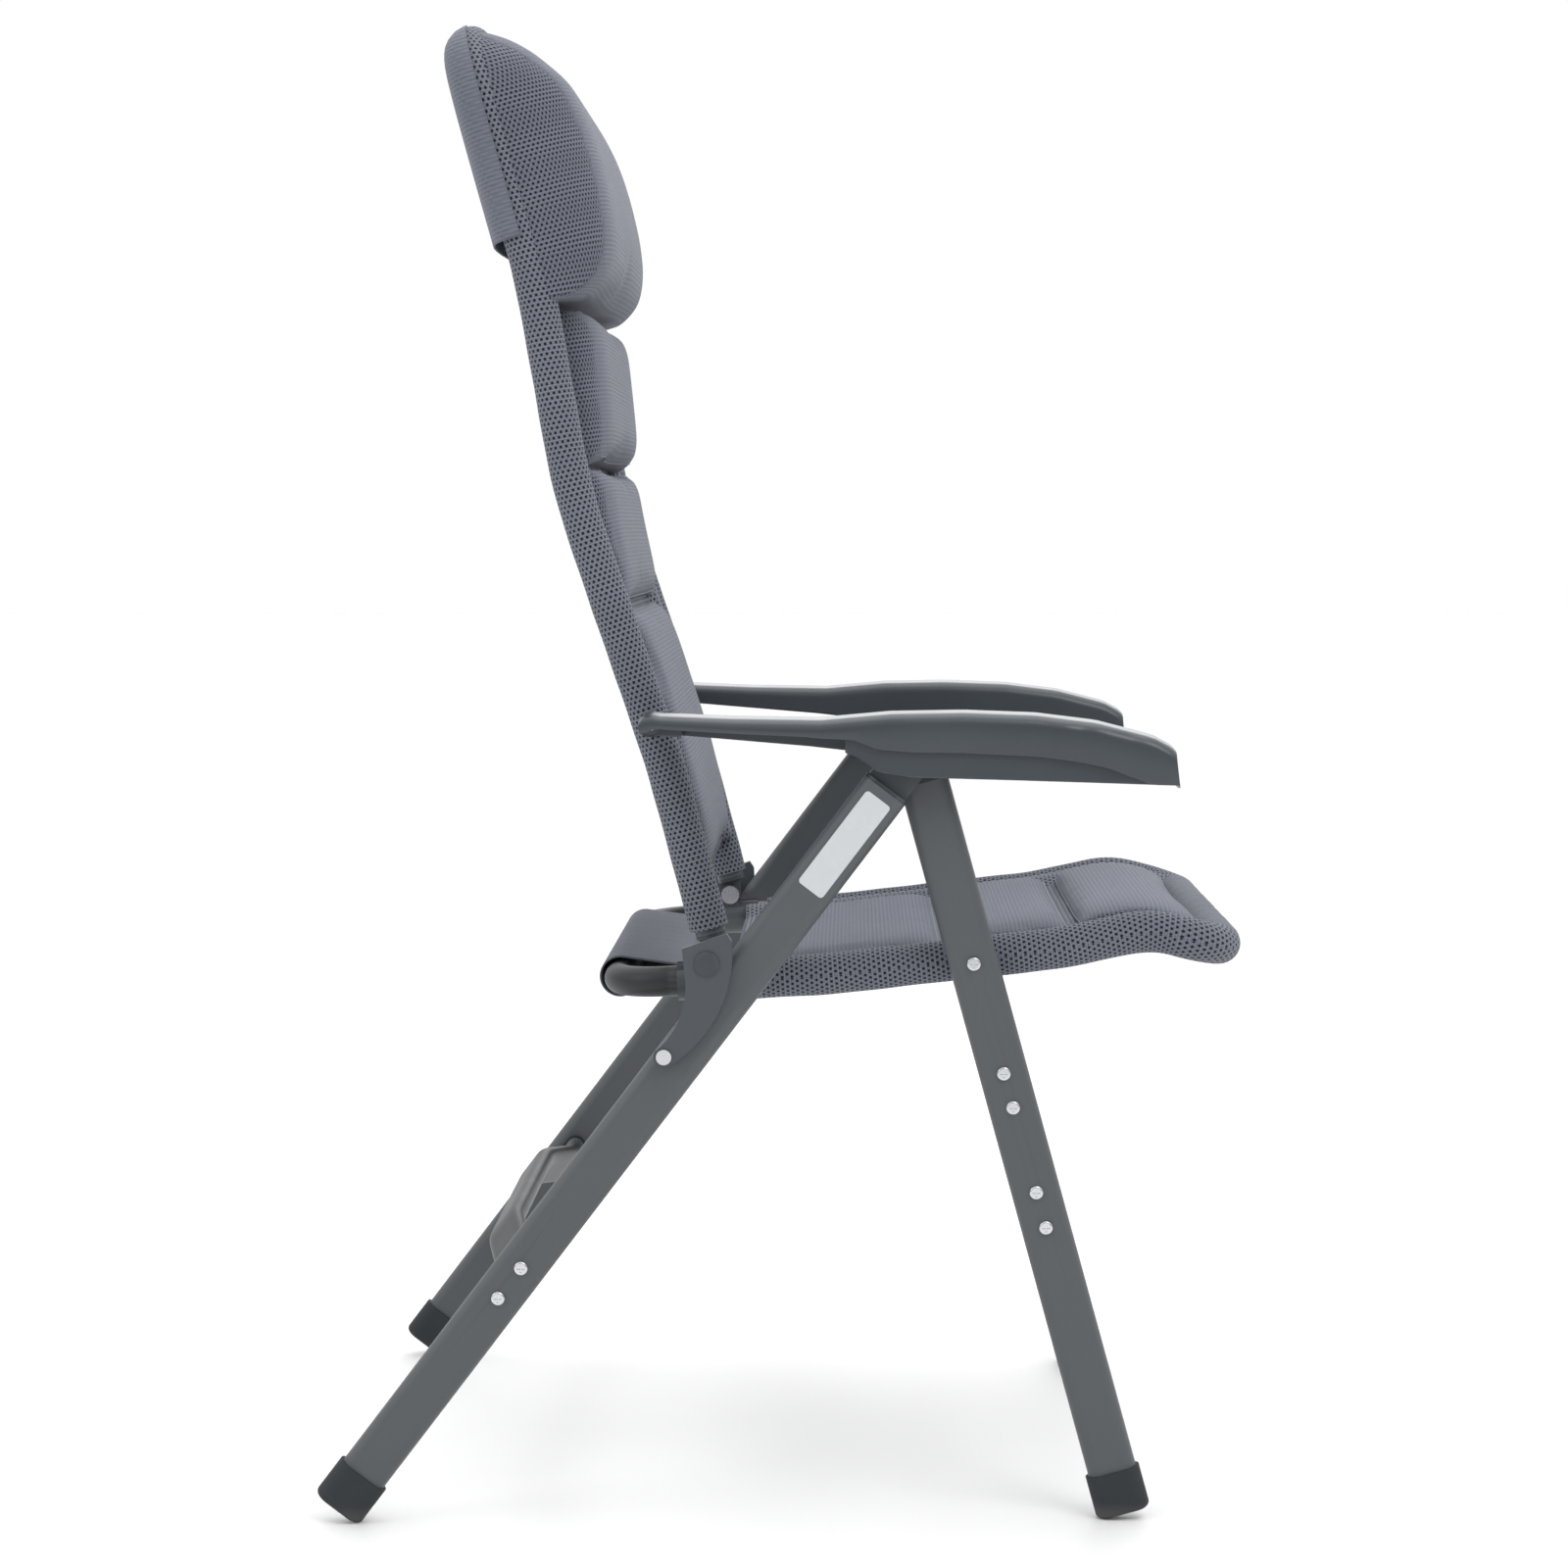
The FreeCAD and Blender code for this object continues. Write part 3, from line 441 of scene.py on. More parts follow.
def steel():
    shader = Shader("screw_steel_look", Metallic=1.0)
    stretched = shader.vector("MULTIPLY", shader.place(), (1.0, 0.05, 1.0))
    brushed = shader.noise(2400.0, 2.0, stretched)
    base = shader.mix(brushed, colour(196, 198, 201), colour(214, 216, 219))
    return shader.end(base, range_of(shader, brushed, 0.18, 0.28), brushed, 0.00001, 0.2)


def film():
    shader = Shader("blank_label_look", Coat_Weight=0.5, Coat_Roughness=0.12)
    blotch = shader.noise(40.0, 2.0)
    base = shader.mix(blotch, colour(196, 199, 202), colour(201, 204, 206))
    return shader.end(base, range_of(shader, blotch, 0.22, 0.32), blotch, 0.00005, 0.3)


def thread():
    shader = Shader("thread_look", Sheen_Weight=0.2)
    twist = shader.noise(1800.0, 1.0)
    base = shader.mix(twist, colour(104, 109, 120), colour(150, 154, 163))
    return shader.end(base, range_of(shader, twist, 0.6, 0.8), twist, 0.0001, 0.4)


# Painted light and shade: lit and shaded copies of each thread colour, here and in the pad and
# strap looks below.
LIGHT = colour(125, 129, 140)
SHADE = colour(83, 88, 99)
# Painted shade: near-black colour for the shade inside the mesh holes.
HOLE_SHADE = colour(16, 18, 24)
roll_cloth = fabric("roll_mesh", LIGHT, SHADE, HOLE_SHADE, 0.0046, 0.27, 1.0)
pad_cloth = fabric("pad_mesh", colour(116, 120, 131), colour(79, 84, 96), HOLE_SHADE, 0.0043, 0.26,
                   0.14, 0.0034)
strap_cloth = fabric("strap_weave", colour(110, 115, 126), colour(68, 73, 82), HOLE_SHADE, 0.0042, 0.2,
                     0.0, 0.0036)
LOOKS = {
    "frame_paint": paint(),
    "armrest_plastic": plastic("armrest_look", colour(54, 60, 65), colour(61, 68, 73),
                               0.24, 0.34),
    "dark_plastic": plastic("dark_plastic_look", colour(32, 36, 40), colour(40, 44, 48),
                            0.38, 0.5),
    "foot_rubber": rubber(),
    "screw_steel": steel(),
    "mesh_fabric": roll_cloth,
    "pad_fabric": pad_cloth,
    "blank_label": film(),
}
thread_look = thread()
for part in frame["record"]["subparts"]:
    node = frame["nodes"][part["node"]]
    node.data.materials.clear()
    node.data.materials.append(LOOKS[part["material_slot"]])


# --- fabric rolls -----------------------------------------------------------------------------

def u_path(outline, start, corner, lift=0.0, spacing=0.006):
    """Right side, across the end and back down the left side, with round corners."""
    corner_start = outline.total - corner
    right = outline.place(np.arange(start, corner_start, spacing), -TUBE_Y, lift)
    angles = np.linspace(0, np.pi / 2, 12)
    along = corner_start + corner * np.sin(angles)
    across = TUBE_Y - corner + corner * np.cos(angles)
    bend = outline.place(along, -across, lift)
    middle = np.linspace(-(TUBE_Y - corner), TUBE_Y - corner, 56)[1:-1]
    top = outline.place(np.full(len(middle), outline.total), middle, lift)
    mirror = np.array([1, -1, 1])
    half = np.concatenate([right, bend])
    return np.concatenate([half, top, half[::-1] * mirror])


def wavy(count, size, seed):
    """A slow, repeatable ripple."""
    where = np.arange(count)
    return size * (np.sin(where * 0.71 + seed) + 0.7 * np.sin(where * 0.29 + seed * 2.1)) / 1.7


def rolled(name, path, body, nodes, seed, radius):
    """A fabric tube round a frame tube, with a turned-in hem at each end."""
    made = Builder()
    radii = radius + wavy(len(path), 0.00025, seed)
    hem = TUBE_RADIUS + 0.0006
    path = np.concatenate([path[:1], path, path[-1:]])
    path[0] += (path[1] - path[2]) * 0.1
    path[-1] += (path[-2] - path[-3]) * 0.1
    radii = np.concatenate([[hem], radii, [hem]])
    made.tube(path, radii, 28, capped=False)
    return settle(made.finish(name, roll_cloth), body, "mesh_fabric", *nodes)


back_corner = back.total - BACK_CORNER
back_path = u_path(back, 0.006, BACK_CORNER)
rolled("back_roll", back_path, "back", ["back_side_sleeves", "back_top_sleeve"], 0.4,
       ROLL + 0.0003)

hem_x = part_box("seat_side_sleeves")[0][X] + 0.003
hem_z = 0.437
seat_start = float(seat.find(np.array([[hem_x, 0, hem_z]]))[0][0])
seat_path = u_path(seat, seat_start, SEAT_CORNER, -0.0014)
rolled("seat_roll", seat_path, "seat", ["seat_side_sleeves", "seat_front_sleeve"], 1.9,
       ROLL + 0.0015)


def piping(name, outline, s_values, y, n, radius, body):
    """A thin welt on both sides of a panel."""
    made = Builder()
    for side in (-1, 1):
        path = outline.place(s_values, side * y, n)
        made.tube(path, radius, 10)
    return settle(made.finish(name, thread_look), body, "mesh_fabric")


# --- padded panels ----------------------------------------------------------------------------

def superellipse(share, power, root):
    """1 in the middle of -1..1, falling to 0 at the ends."""
    return np.clip(1 - np.abs(share) ** power, 0, 1) ** (1 / root)


def closed_slab(outline, first, last, half_width, front_of, rear_of, rows=40, columns=60):
    """A closed form between two lengths: front_of and rear_of give n for (s share, y share).

    half_width is a number, or a function of the length.
    """
    s = np.linspace(-1, 1, rows)
    y = np.linspace(-1, 1, columns)
    s = np.sin(s * np.pi / 2)
    y = np.sin(y * np.pi / 2)
    share_s, share_y = np.meshgrid(s, y, indexing="ij")
    length = (first + last) / 2 + share_s * (last - first) / 2
    width = share_y * half_width(length) if callable(half_width) else share_y * half_width
    front = outline.place(length, width, front_of(share_s, share_y))
    rear = outline.place(length, width, rear_of(share_s, share_y))
    made = Builder()
    made.grid(front)
    start = made.grid(rear)
    edge = [(0, j) for j in range(columns)] + [(i, columns - 1) for i in range(1, rows)]
    edge += [(rows - 1, j) for j in range(columns - 2, -1, -1)]
    edge += [(i, 0) for i in range(rows - 2, 0, -1)]
    ring = [i * columns + j for i, j in edge]
    for a, b in zip(ring, ring[1:] + ring[:1]):
        made.faces.append([a, b, start + b, start + a])
        made.corners.append([(0, 0)] * 4)
    return made


def puffed(made, voxel, cap=0.004, pressure=4.0, frames=20):
    """Voxel remesh, then a short cloth run with air pressure; no point moves past the cap."""
    remesh = made.modifiers.new("even", "REMESH")
    remesh.mode = "VOXEL"
    remesh.voxel_size = voxel
    use(made, remesh)
    rest = np.empty(len(made.data.vertices) * 3)
    made.data.vertices.foreach_get("co", rest)
    cloth = made.modifiers.new("puff", "CLOTH")
    cloth.settings.quality = 6
    cloth.settings.mass = 0.3
    cloth.settings.tension_stiffness = 30
    cloth.settings.compression_stiffness = 30
    cloth.settings.shear_stiffness = 12
    cloth.settings.bending_stiffness = 0.8
    cloth.settings.use_pressure = True
    cloth.settings.uniform_pressure_force = pressure
    cloth.settings.effector_weights.gravity = 0
    cloth.collision_settings.use_collision = False
    cloth.collision_settings.use_self_collision = False
    cloth.point_cache.frame_start = 1
    cloth.point_cache.frame_end = frames
    for step in range(1, frames + 1):
        bpy.context.scene.frame_set(step)
    ready = made.evaluated_get(bpy.context.evaluated_depsgraph_get())
    moved = np.empty(len(rest))
    ready.data.vertices.foreach_get("co", moved)
    made.modifiers.remove(cloth)
    bpy.context.scene.frame_set(1)
    shift = (moved - rest).reshape(-1, 3)
    length = np.linalg.norm(shift, axis=1, keepdims=True)
    shift *= cap * np.tanh(length / cap) / np.maximum(length, 1e-9)
    made.data.vertices.foreach_set("co", (rest.reshape(-1, 3) + shift).ravel())
    return made


def smoothed(made, repeats=3, factor=0.5):
    smooth = made.modifiers.new("smooth", "SMOOTH")
    smooth.factor = factor
    smooth.iterations = repeats
    use(made, smooth)


def subdivided(made):
    sub = made.modifiers.new("finer", "SUBSURF")
    sub.levels = 1
    sub.render_levels = 1
    use(made, sub)


def lay_weave(made, outline, top, gusset_from, stretch=None):
    """Weave coordinates from each point's place, and how far it lies on the side gusset."""
    mesh = made.data
    points = np.empty(len(mesh.vertices) * 3)
    mesh.vertices.foreach_get("co", points)
    points = points.reshape(-1, 3)
    s, n = outline.find(points)
    side = np.sign(points[:, Y])
    u = points[:, Y] + side * np.maximum(top - n, 0)
    normals = np.empty(len(mesh.vertices) * 3)
    mesh.vertex_normals.foreach_get("vector", normals)
    normals = np.abs(normals.reshape(-1, 3)[:, Y])
    lying = np.clip((normals - gusset_from) / 0.15, 0, 1)
    if stretch is not None:
        s = np.where(lying < 0.5, np.interp(s, *stretch), s)
    loops = np.empty(len(mesh.loops), int)
    mesh.loops.foreach_get("vertex_index", loops)
    for layer in list(mesh.uv_layers):
        mesh.uv_layers.remove(layer)
    layer = mesh.uv_layers.new(name="weave")
    layer.data.foreach_set("uv", np.stack([u, s], 1)[loops].ravel())
    store = mesh.attributes.new("gusset", "FLOAT", "POINT")
    store.data.foreach_set("value", lying)


def stitched(name, runs, body, pitch=0.0046, long=0.0032, radius=0.00048):
    """Rows of short thread stitches; each run is (points, normals)."""
    made = Builder()
    for points, normals in runs:
        points = np.asarray(points)
        steps = np.linalg.norm(np.diff(points, axis=0), axis=1)
        lengths = np.concatenate([[0], np.cumsum(steps)])
        for middle in np.arange(pitch, lengths[-1] - pitch, pitch):
            ends = [middle - long / 2, middle - long / 4, middle + long / 4, middle + long / 2]
            place = np.stack([np.interp(ends, lengths, points[:, k]) for k in range(3)], -1)
            out = np.array([np.interp(middle, lengths, np.asarray(normals)[:, k])
                            for k in range(3)])
            out /= max(np.linalg.norm(out), 1e-9)
            lift = np.array([-0.2, 0.9, 0.9, -0.2])[:, None] * radius
            made.tube(place + out * lift, [radius * 0.6, radius, radius, radius * 0.6], 6)
    return settle(made.finish(name, thread_look, 80), body, "mesh_fabric")


class Skin:
    """Finds points on a finished pad, looking along an outline's normal."""

    def __init__(self, made, outline):
        self.outline = outline
        self.tree = BVHTree.FromObject(made, bpy.context.evaluated_depsgraph_get())

    def hit(self, s, y, away=0.2):
        """Point and normal seen from this far in front of the outline."""
        start = Vector(self.outline.place(s, y, away))
        toward = Vector(self.outline.normal(s)) * -1
        return self.tree.ray_cast(start, toward, 2 * away)[:2]

    def run(self, places, lift):
        """Points and normals on the skin for (s, y) places, leaving out misses."""
        points, normals = [], []
        for s, y in places:
            where, normal = self.hit(s, y)
            if where is not None:
                points.append(np.array(where + normal * lift))
                normals.append(np.array(normal))
        return points, normals


def cushion(name, outline, first, last, front, body, node, half):
    """One padded field of a panel: flat behind, crowned in front and drawn in at its seams."""
    low, near, far = front

    def front_of(share_s, share_y):
        swell = superellipse(share_s, 7, 2.1) * superellipse(share_y, 12, 2.4)
        high = (near + far) / 2 + (far - near) / 2 * share_s
        return low + (high - low) * swell

    def rear_of(share_s, share_y):
        return -PAD_REAR * superellipse(share_s, 8, 3) * superellipse(share_y, 14, 3)

    made = closed_slab(outline, first, last, half, front_of, rear_of).finish(name, pad_cloth)
    puffed(made, 0.005)
    smoothed(made)
    subdivided(made)
    lay_weave(made, outline, max(near, far), 0.42)
    shade(made, 60)
    settle(made, body, "pad_fabric", node)
    return made


def fields(outline, body, half, table):
    """The row of pads on one panel: name, first and last share, front n (edge, start, end)."""
    made = []
    for name, first, last, front in table:
        first, last = outline.total * first, outline.total * last
        pad = cushion(name + "_soft", outline, first, last, front, body, name, half)
        made.append((pad, first, last))
    return made


PAD_REAR = 0.006
BACK_HALF = 0.204
SEAT_HALF = 0.196
back_fields = fields(back, "back", BACK_HALF, [
    ("back_pad_lower", 0.060, 0.366, (0.004, 0.0145, 0.018)),
    ("back_pad_middle", 0.368, 0.526, (0.006, 0.0145, 0.0285)),
    ("back_pad_upper", 0.528, 0.702, (0.007, 0.0325, 0.042))])
seat_fields = fields(seat, "seat", SEAT_HALF, [
    ("seat_pad_rear", 0.100, 0.470, (0.003, 0.0100, 0.0125)),
    ("seat_pad_middle", 0.473, 0.718, (0.003, 0.0135, 0.0150)),
    ("seat_pad_front", 0.721, 0.965, (0.003, 0.0160, 0.0120))])


# --- headrest ---------------------------------------------------------------------------------

HEAD_EASE = 0.0012
head_low = back.total * 0.704
head_high = back.total + ROLL + 0.001
head_half = TUBE_Y + ROLL + HEAD_EASE
head_corner = BACK_CORNER + ROLL + HEAD_EASE


def head_width(s):
    """Half width of the headrest cover, following the frame's round corners."""
    over = np.clip((np.asarray(s) - back_corner) / head_corner, 0, 1)
    inset = head_corner * (1 - np.sqrt(1 - over ** 2))
    return head_half - inset


HEAD_DEPTHS = np.array([(0.0, 0.034), (0.04, 0.052), (0.09, 0.061), (0.175, 0.068),
                        (0.28, 0.072), (0.42, 0.0735), (0.52, 0.073), (0.60, 0.071),
                        (0.717, 0.065), (0.85, 0.043), (0.92, 0.026), (1.0, 0.003)])
HOOD_START = 0.235
HOOD_DEPTHS = np.array([(HOOD_START, 0.0265), (0.6, 0.026), (0.84, 0.0255), (0.90, 0.0245),
                        (0.95, 0.021), (0.985, 0.013), (1.0, 0.003)])


def eased(table, share):
    """A smooth curve through a table's points."""
    share = np.asarray(share, float)
    reach = 0.03
    taps = [np.interp(share + reach * k / 2, table[:, 0], table[:, 1]) for k in range(-2, 3)]
    return np.average(taps, axis=0, weights=[1, 3, 4, 3, 1])


def head_front(share_s, share_y):
    return eased(HEAD_DEPTHS, (share_s + 1) / 2) * superellipse(share_y, 14, 2.3)


def head_rear(share_s, share_y):
    return -0.002 * superellipse(share_y, 8, 2)


def profile_length(depths, first, last):
    """Lengths along the outline, and the longer way over the front of the form."""
    s = np.linspace(first - 0.03, last + 0.03, 200)
    rise = np.gradient(eased(depths, (s - first) / (last - first)), s)
    step = np.gradient(s) * np.sqrt(1 + np.clip(rise, -3, 3) ** 2)
    return s, s[0] + np.cumsum(step)


pillow = closed_slab(back, head_low, head_high, head_width, head_front, head_rear,
                     56, 80).finish("headrest_pillow", pad_cloth)
puffed(pillow, 0.006)
smoothed(pillow)
subdivided(pillow)
lay_weave(pillow, back, 0.072, 0.4, profile_length(HEAD_DEPTHS, head_low, head_high))
shade(pillow, 60)
settle(pillow, "back", "pad_fabric", "headrest_pad")

HOOD_EASE = 0.0008
hood_rows = []
hood_shares = np.linspace(HOOD_START, 1.0, 36)
hood_across = np.sin(np.linspace(-1, 1, 70) * np.pi / 2)
for share in hood_shares:
    length = head_low + (head_high - head_low) * share
    depth = eased(HOOD_DEPTHS, share)
    ripple = 0.0008 * np.sin(hood_across * 9 + share * 5) * (1 - hood_across ** 2)
    n = -(depth * superellipse(hood_across, 16, 2.6) + ripple)
    hood_rows.append(back.place(length, hood_across * (head_width(length) + HOOD_EASE), n))
hood = Builder()
hood.grid(hood_rows, lambda a, b: (hood_across[b] * head_half,
                                   hood_shares[a] * (head_high - head_low)))
hood = hood.finish("headrest_hood", pad_cloth)
thick = hood.modifiers.new("cloth", "SOLIDIFY")
thick.thickness = 0.0016
thick.offset = 0
settle(hood, "back", "pad_fabric", "headrest_pocket")


# --- seams, piping and stitching --------------------------------------------------------------

def across(s, half=SEAT_HALF - 0.012, count=70):
    return [(s, y) for y in np.linspace(-half, half, count)]


def seam_runs(made, outline, inset=0.0055):
    """Double rows of stitches beside the seams between the pads."""
    runs = []
    for pad, first, last in made:
        skin = Skin(pad, outline)
        for s in (first + inset, last - inset):
            runs.append(skin.run(across(s), 0.0001))
    return runs


stitched("back_seam_stitches", seam_runs(back_fields, back), "back")
stitched("seat_seam_stitches", seam_runs(seat_fields, seat), "seat")

back_run = np.linspace(back.total * 0.06, back.total * 0.702, 90)
seat_run = np.linspace(seat.total * 0.10, seat.total * 0.925, 70)
piping("back_piping", back, back_run, PANEL - 0.001, 0.0120, 0.0011, "back")
piping("seat_piping", seat, seat_run, PANEL - 0.001, 0.0115, 0.0011, "seat")


# --- panel backs, hems and the rear strap -----------------------------------------------------

def panel_sheet(name, outline, first, last, shape, body):
    """A layer of mesh between the two side rolls; shape gives n for a width."""
    s = np.linspace(outline.total * first, outline.total * last, 60)
    y = np.linspace(-1, 1, 64)
    y = np.sin(y * np.pi / 2) * (PANEL + 0.004)
    rows = []
    for length in s:
        ripple = 0.0003 * np.sin(y * 50 + length * 60)
        rows.append(outline.place(length, y, shape(y) + ripple))
    made = Builder()
    made.grid(rows, lambda a, b: (y[b], s[a]))
    made = made.finish(name, roll_cloth)
    thick = made.modifiers.new("cloth", "SOLIDIFY")
    thick.thickness = 0.0012
    thick.offset = 0
    store = made.data.attributes.new("gusset", "FLOAT", "POINT")
    store.data.foreach_set("value", np.ones(len(made.data.vertices)))
    settle(made, body, "mesh_fabric")
    return made


def behind(y):
    """The rear layer, drawn slightly in at the middle."""
    return -0.0085 - 0.0012 * np.cos(y / PANEL * np.pi / 2)


def before(half):
    """The front layer: it slopes down from the rolls to where the pads begin."""
    def shape(y):
        rise = np.clip((np.abs(y) - half + 0.012) / (PANEL + 0.002 - half), 0, 1)
        return 0.0028 + 0.0085 * rise * rise * (3 - 2 * rise)
    return shape


for panel, outline, first, last, half, flat in (
        ("back", back, 0.052, 0.93, BACK_HALF, (0.44, 0.66)),
        ("seat", seat, 0.06, 0.985, SEAT_HALF, (0.44, 0.47))):
    panel_sheet(panel + "_rear_layer", outline, first, last, behind, panel)
    panel_sheet(panel + "_front_layer", outline, first, last, before(half), panel)

rear_middle = section_middle("seat_rear_bow", Y, 0.0)
strap_half = float(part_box("seat_rear_sleeve")[1][Y])
rear_s = float(seat.find(np.array([rear_middle]))[0][0])
loop_angles = np.linspace(math.radians(78), math.radians(282), 30)
loop_radius = ROLL + 0.0002
loop_s = list(rear_s + loop_radius * np.cos(loop_angles))
loop_n = list(loop_radius * np.sin(loop_angles))
lead = np.linspace(0, 1, 8)[1:]
tail_s = rear_s + 0.062
upper_s = [loop_s[0] + (tail_s - loop_s[0]) * t for t in lead]
upper_n = [loop_n[0] + (0.004 - loop_n[0]) * t for t in lead]
lower_n = [loop_n[-1] + (-0.0068 - loop_n[-1]) * t for t in lead]
profile = list(zip(upper_s[::-1], upper_n[::-1])) + list(zip(loop_s, loop_n))
profile += list(zip(upper_s, lower_n))
profile = np.array(profile)
profile_steps = np.linalg.norm(np.diff(profile, axis=0), axis=1)
profile_lengths = np.concatenate([[0], np.cumsum(profile_steps)])
strap_y = np.linspace(-strap_half, strap_half, 60)
strap = Builder()
strap_rows = [seat.place(profile[:, 0], y, profile[:, 1] + 0.0002 * math.sin(y * 190))
              for y in strap_y]
strap.grid(strap_rows, lambda a, b: (profile_lengths[b], strap_y[a]))
strap = strap.finish("seat_rear_strap", strap_cloth)
thick = strap.modifiers.new("cloth", "SOLIDIFY")
thick.thickness = 0.0014
thick.offset = 1
settle(strap, "seat", "mesh_fabric", "seat_rear_sleeve")


# --- armrests ---------------------------------------------------------------------------------

def arm_stations(node):
    low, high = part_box(node)
    inner = np.linspace(low[X] + 0.012, high[X] - 0.014, 74)
    rear = low[X] + np.array([0.0004, 0.0015, 0.0035, 0.0065])
    nose = high[X] - np.array([0.0095, 0.006, 0.0032, 0.0012, 0.0004])
    return np.concatenate([rear, inner, nose])


# share of the length, height of the lip's lower edge as a share, inset of the skirt under it
LIP = np.array([(0.0, 0.0, 0.0), (0.03, 0.36, 0.020), (0.30, 0.42, 0.020), (0.35, 0.40, 0.0120),
                (0.39, 0.39, 0.0018), (0.58, 0.39, 0.0018), (0.74, 0.37, 0.0018),
                (0.80, 0.34, 0.0018), (0.87, 0.26, 0.0016), (0.95, 0.0, 0.0), (1.0, 0.0, 0.0)])
LIP_PROUD = 0.0024
ARM_HALF = 0.02725
ARM_WALL = 0.0036
SKIRT_INSET = 0.0018
SKIRT_WALL = 0.0019
SKIRT_INNER = ARM_HALF - SKIRT_INSET - SKIRT_WALL
GRIP_START, GRIP_RUN, GRIP_SWELL = 0.74, 0.07, 0.0022
GRIP_DIPS = (0.82, 0.91)
DIP_DEPTH, DIP_WIDTH = 0.0016, 0.018
NOSE_DROP = 0.009


def arm_ring(low, high, share, end_round):
    """Section of an armrest: a crowned top, an outer lip over a recessed skirt, an inner wall.

    Offsets are from the middle, + to the outside; share runs 0 rear to 1 front.
    """
    half = ARM_HALF
    tall = high - low
    lip = float(np.interp(share, LIP[:, 0], LIP[:, 1]))
    inset = float(np.interp(share, LIP[:, 0], LIP[:, 2]))
    under = low + tall * lip
    grip = min(max((share - GRIP_START) / GRIP_RUN, 0.0), 1.0)
    swell = LIP_PROUD * min(1.0, share / 0.1) + GRIP_SWELL * grip * grip * (3 - 2 * grip)
    for dip in GRIP_DIPS:
        swell -= DIP_DEPTH * math.exp(-((share - dip) / DIP_WIDTH) ** 2)
    edge = min(0.0095, tall * 0.42)
    ring = [(-half + 0.0012, low), (-half, low + 0.0015), (-half, low + tall * 0.3),
            (-half, high - edge)]
    for angle in np.linspace(0, 90, 7)[1:]:
        turn = math.radians(angle)
        ring.append((-half + 0.011 * (1 - math.cos(turn)), high - edge * (1 - math.sin(turn))))
    ring += [(-0.007, high + 0.0007), (0.004, high + 0.0009), (half - 0.014, high + 0.0005)]
    for angle in np.linspace(90, 0, 8):
        turn = math.radians(angle)
        ring.append((half + swell - 0.0125 * (1 - math.cos(turn)),
                     high - edge * (1 - math.sin(turn))))
    ring += [(half + swell, under + 0.0016), (half + swell - 0.0008, under + 0.0003),
             (half - inset * 0.5, under), (half - inset, under + 0.0006 * (inset > 0)),
             (half - inset, low + (under - low) * 0.5 + 0.0008), (half - inset, low + 0.0012),
             (half - inset - 0.0012, low)]
    shrink = 1 - NOSE_DROP * (1 - end_round) / tall
    narrow = 1 - 0.1 * (1 - end_round)
    return [(a * narrow, low + (z - low) * shrink) for a, z in ring]


def armrest(label, side):
    node = "armrest_" + label
    low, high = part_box(node)
    centre = (low[Y] + high[Y]) / 2
    xs = arm_stations(node)
    rows = []
    for x in xs:
        bottom, top = section(node, X, x)
        share = (x - low[X]) / (high[X] - low[X])
        from_end = min(high[X] - x, NOSE_DROP) / NOSE_DROP
        end_round = math.sqrt(1 - (1 - from_end) ** 2)
        ring = arm_ring(float(bottom[Z]), float(top[Z]), share, end_round)
        rows.append([(x, centre + side * a, z) for a, z in ring])
    made = Builder()
    first = made.grid(rows, None, True)
    wide = len(rows[0])
    made.cap(range(first + wide - 1, first - 1, -1))
    last = first + (len(rows) - 1) * wide
    made.cap(range(last, last + wide))
    made = made.finish("armrest_shell_" + label, LOOKS["armrest_plastic"], 35)
    spans = [x for x in xs if low[X] + 0.03 < x < high[X] - 0.052]
    hollow = Builder()
    rows = []
    for x in spans:
        bottom, top = section(node, X, x)
        roof, floor = float(top[Z]) - ARM_WALL, float(bottom[Z]) - 0.03
        edge_out, edge_in = SKIRT_INNER, -ARM_HALF + ARM_WALL
        rows.append([(x, centre + side * a, z) for a, z in
                     ((edge_in, floor), (edge_in, roof), (edge_out, roof), (edge_out, floor))])
    hollow.grid(rows, None, True)
    hollow.cap(range(3, -1, -1))
    hollow.cap(range(4 * (len(rows) - 1), 4 * len(rows)))
    hollow = hollow.finish("hollow_" + label, LOOKS["armrest_plastic"])
    cut = made.modifiers.new("hollow", "BOOLEAN")
    cut.operation = "DIFFERENCE"
    cut.solver = "EXACT"
    cut.object = hollow
    use(made, cut)
    bpy.data.objects.remove(hollow)
    shade(made, 35)
    return settle(made, "armrest_" + label, "armrest_plastic", node)


armrest("left", 1)
armrest("right", -1)


# --- floor, light and camera ------------------------------------------------------------------

def stage_floor():
    shader = Shader("floor_look")
    cloud = shader.noise(3.0, 2.0)
    base = shader.mix(cloud, (0.86, 0.86, 0.86, 1), (0.88, 0.88, 0.88, 1))
    made = Builder()
    line = np.linspace(-30, 30, 3)
    made.grid([[(x, y, -0.0003) for x in line] for y in line])
    made = made.finish("floor", shader.end(base, range_of(shader, cloud, 0.5, 0.6)))


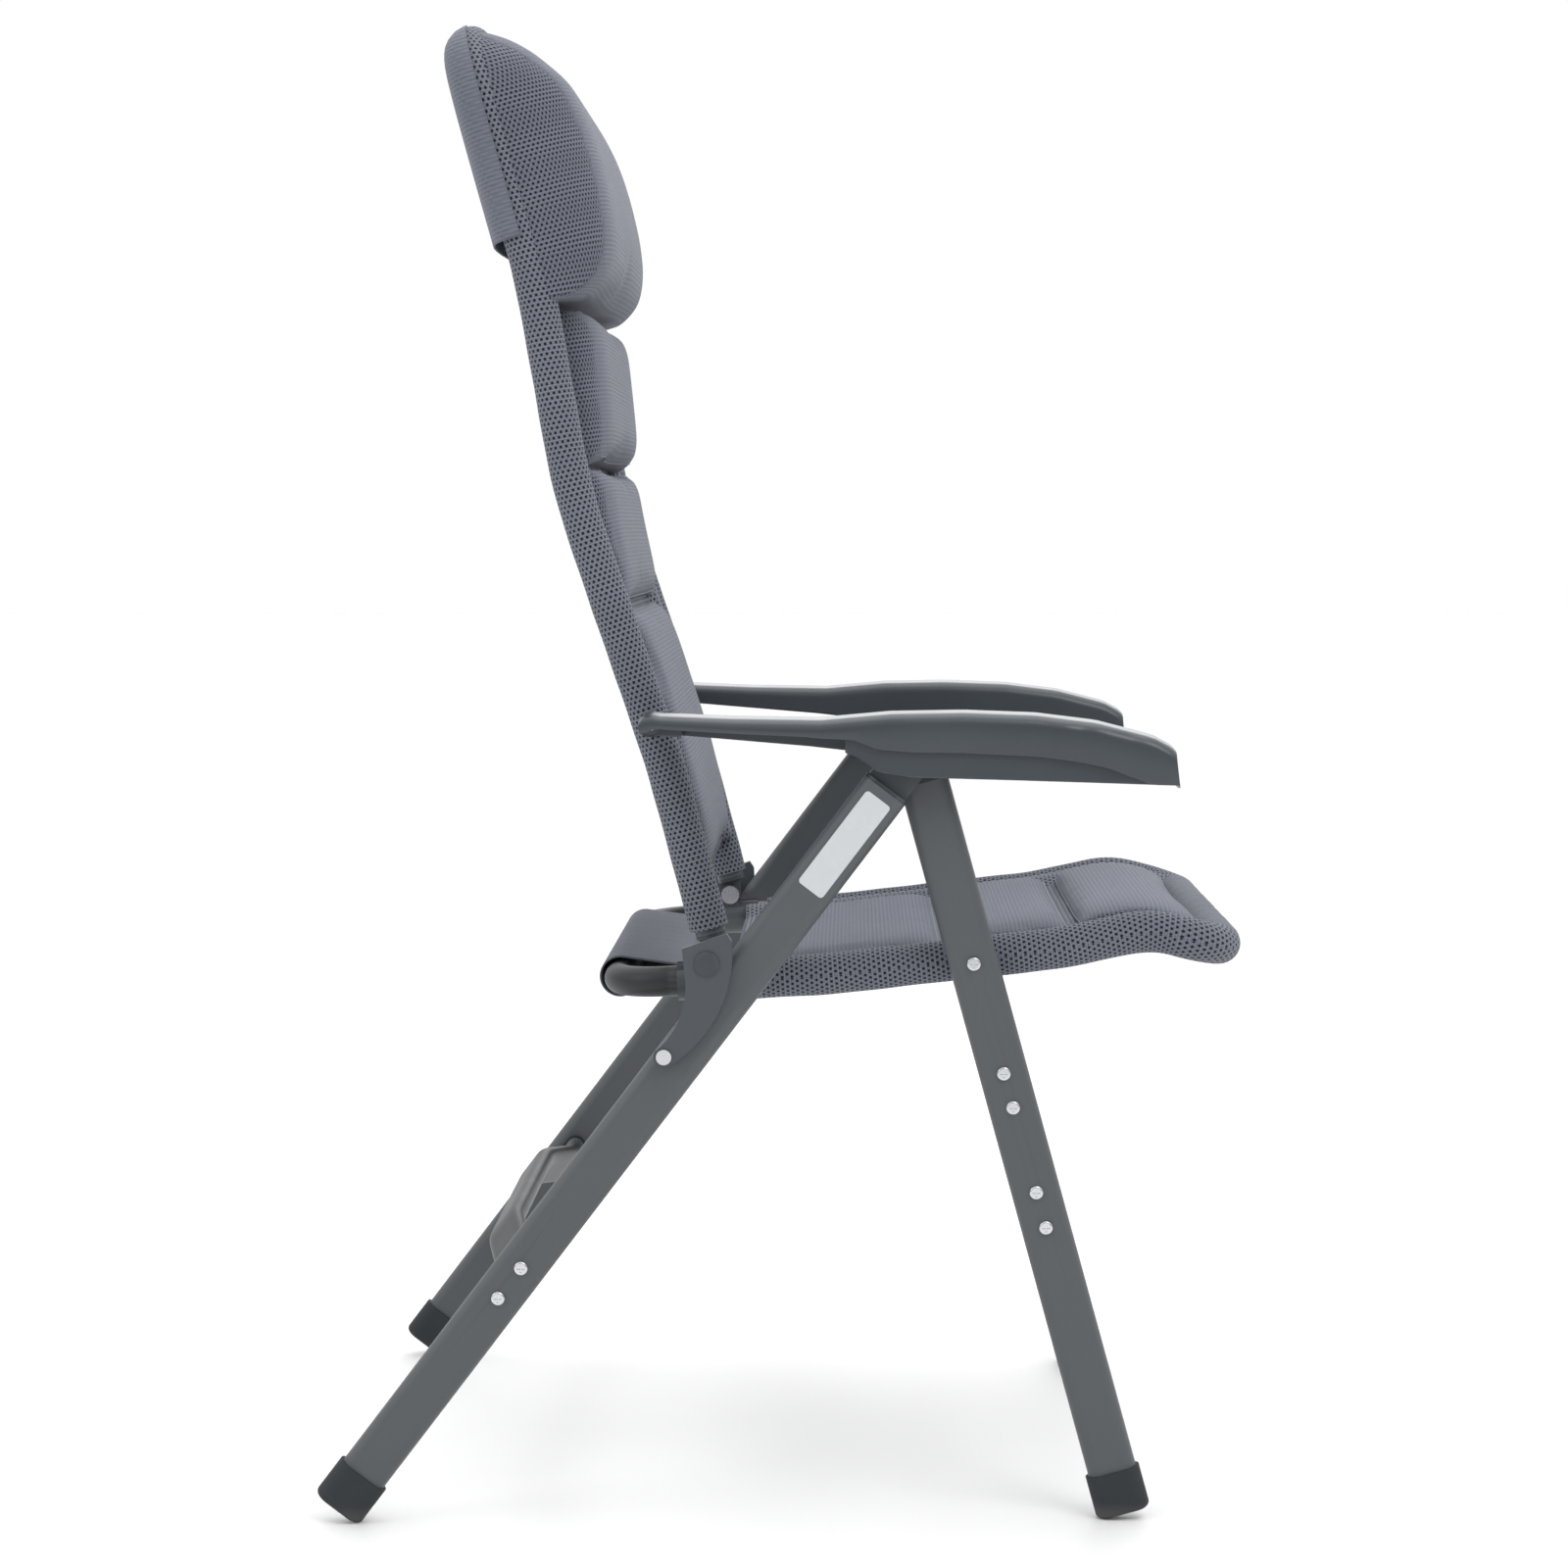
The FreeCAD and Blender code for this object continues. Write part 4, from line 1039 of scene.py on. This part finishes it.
def soft_light(name, place, aim, size, power):
    lamp = bpy.data.lights.new(name, "AREA")
    lamp.shape = "RECTANGLE"
    lamp.size, lamp.size_y = size
    lamp.energy = power
    made = bpy.data.objects.new(name, lamp)
    made.location = place
    made.rotation_euler = (Vector(aim) - Vector(place)).to_track_quat("-Z", "Y").to_euler()
    bpy.context.scene.collection.objects.link(made)


stage_floor()
AIM = (0.0, 0.0, 0.6)
soft_light("key", (1.4, -1.9, 3.0), AIM, (1.6, 1.6), 30)
soft_light("fill", (-2.6, -1.6, 1.9), AIM, (1.4, 1.8), 14)
soft_light("top", (0.0, 0.4, 3.4), AIM, (2.4, 2.4), 26)
soft_light("back_light", (0.6, 2.8, 2.0), AIM, (2.2, 1.8), 18)
world = bpy.data.worlds.new("studio")
world.use_nodes = True
studio = world.node_tree
around = studio.nodes.new("ShaderNodeTexCoord")
parts = studio.nodes.new("ShaderNodeSeparateXYZ")
studio.links.new(around.outputs["Generated"], parts.inputs[0])
glow = studio.nodes.new("ShaderNodeMath")
FADES = (("Y", (-0.7, 0.7, 0.42, 1.0)), ("Z", (0.15, 0.8, 0.0, 0.55)))
for slot, (axis, ends) in enumerate(FADES):
    fade = studio.nodes.new("ShaderNodeMapRange")
    for key, value in zip(("From Min", "From Max", "To Min", "To Max"), ends):
        fade.inputs[key].default_value = value
    studio.links.new(parts.outputs[axis], fade.inputs["Value"])
    studio.links.new(fade.outputs[0], glow.inputs[slot])
studio.nodes["Background"].inputs["Color"].default_value = (1, 1, 1, 1)
studio.links.new(glow.outputs[0], studio.nodes["Background"].inputs["Strength"])
bpy.context.scene.world = world
bpy.context.scene.view_settings.view_transform = "Standard"

camera = bpy.data.cameras.new("camera")
camera.lens = 80.1
camera.sensor_width = 36
camera_place = bpy.data.objects.new("camera", camera)
camera_place.location = (0.057, -3.076, 0.807)
camera_place.rotation_euler = (math.radians(90 - 4.19), 0, math.radians(1.165))
bpy.context.scene.collection.objects.link(camera_place)
bpy.context.scene.camera = camera_place
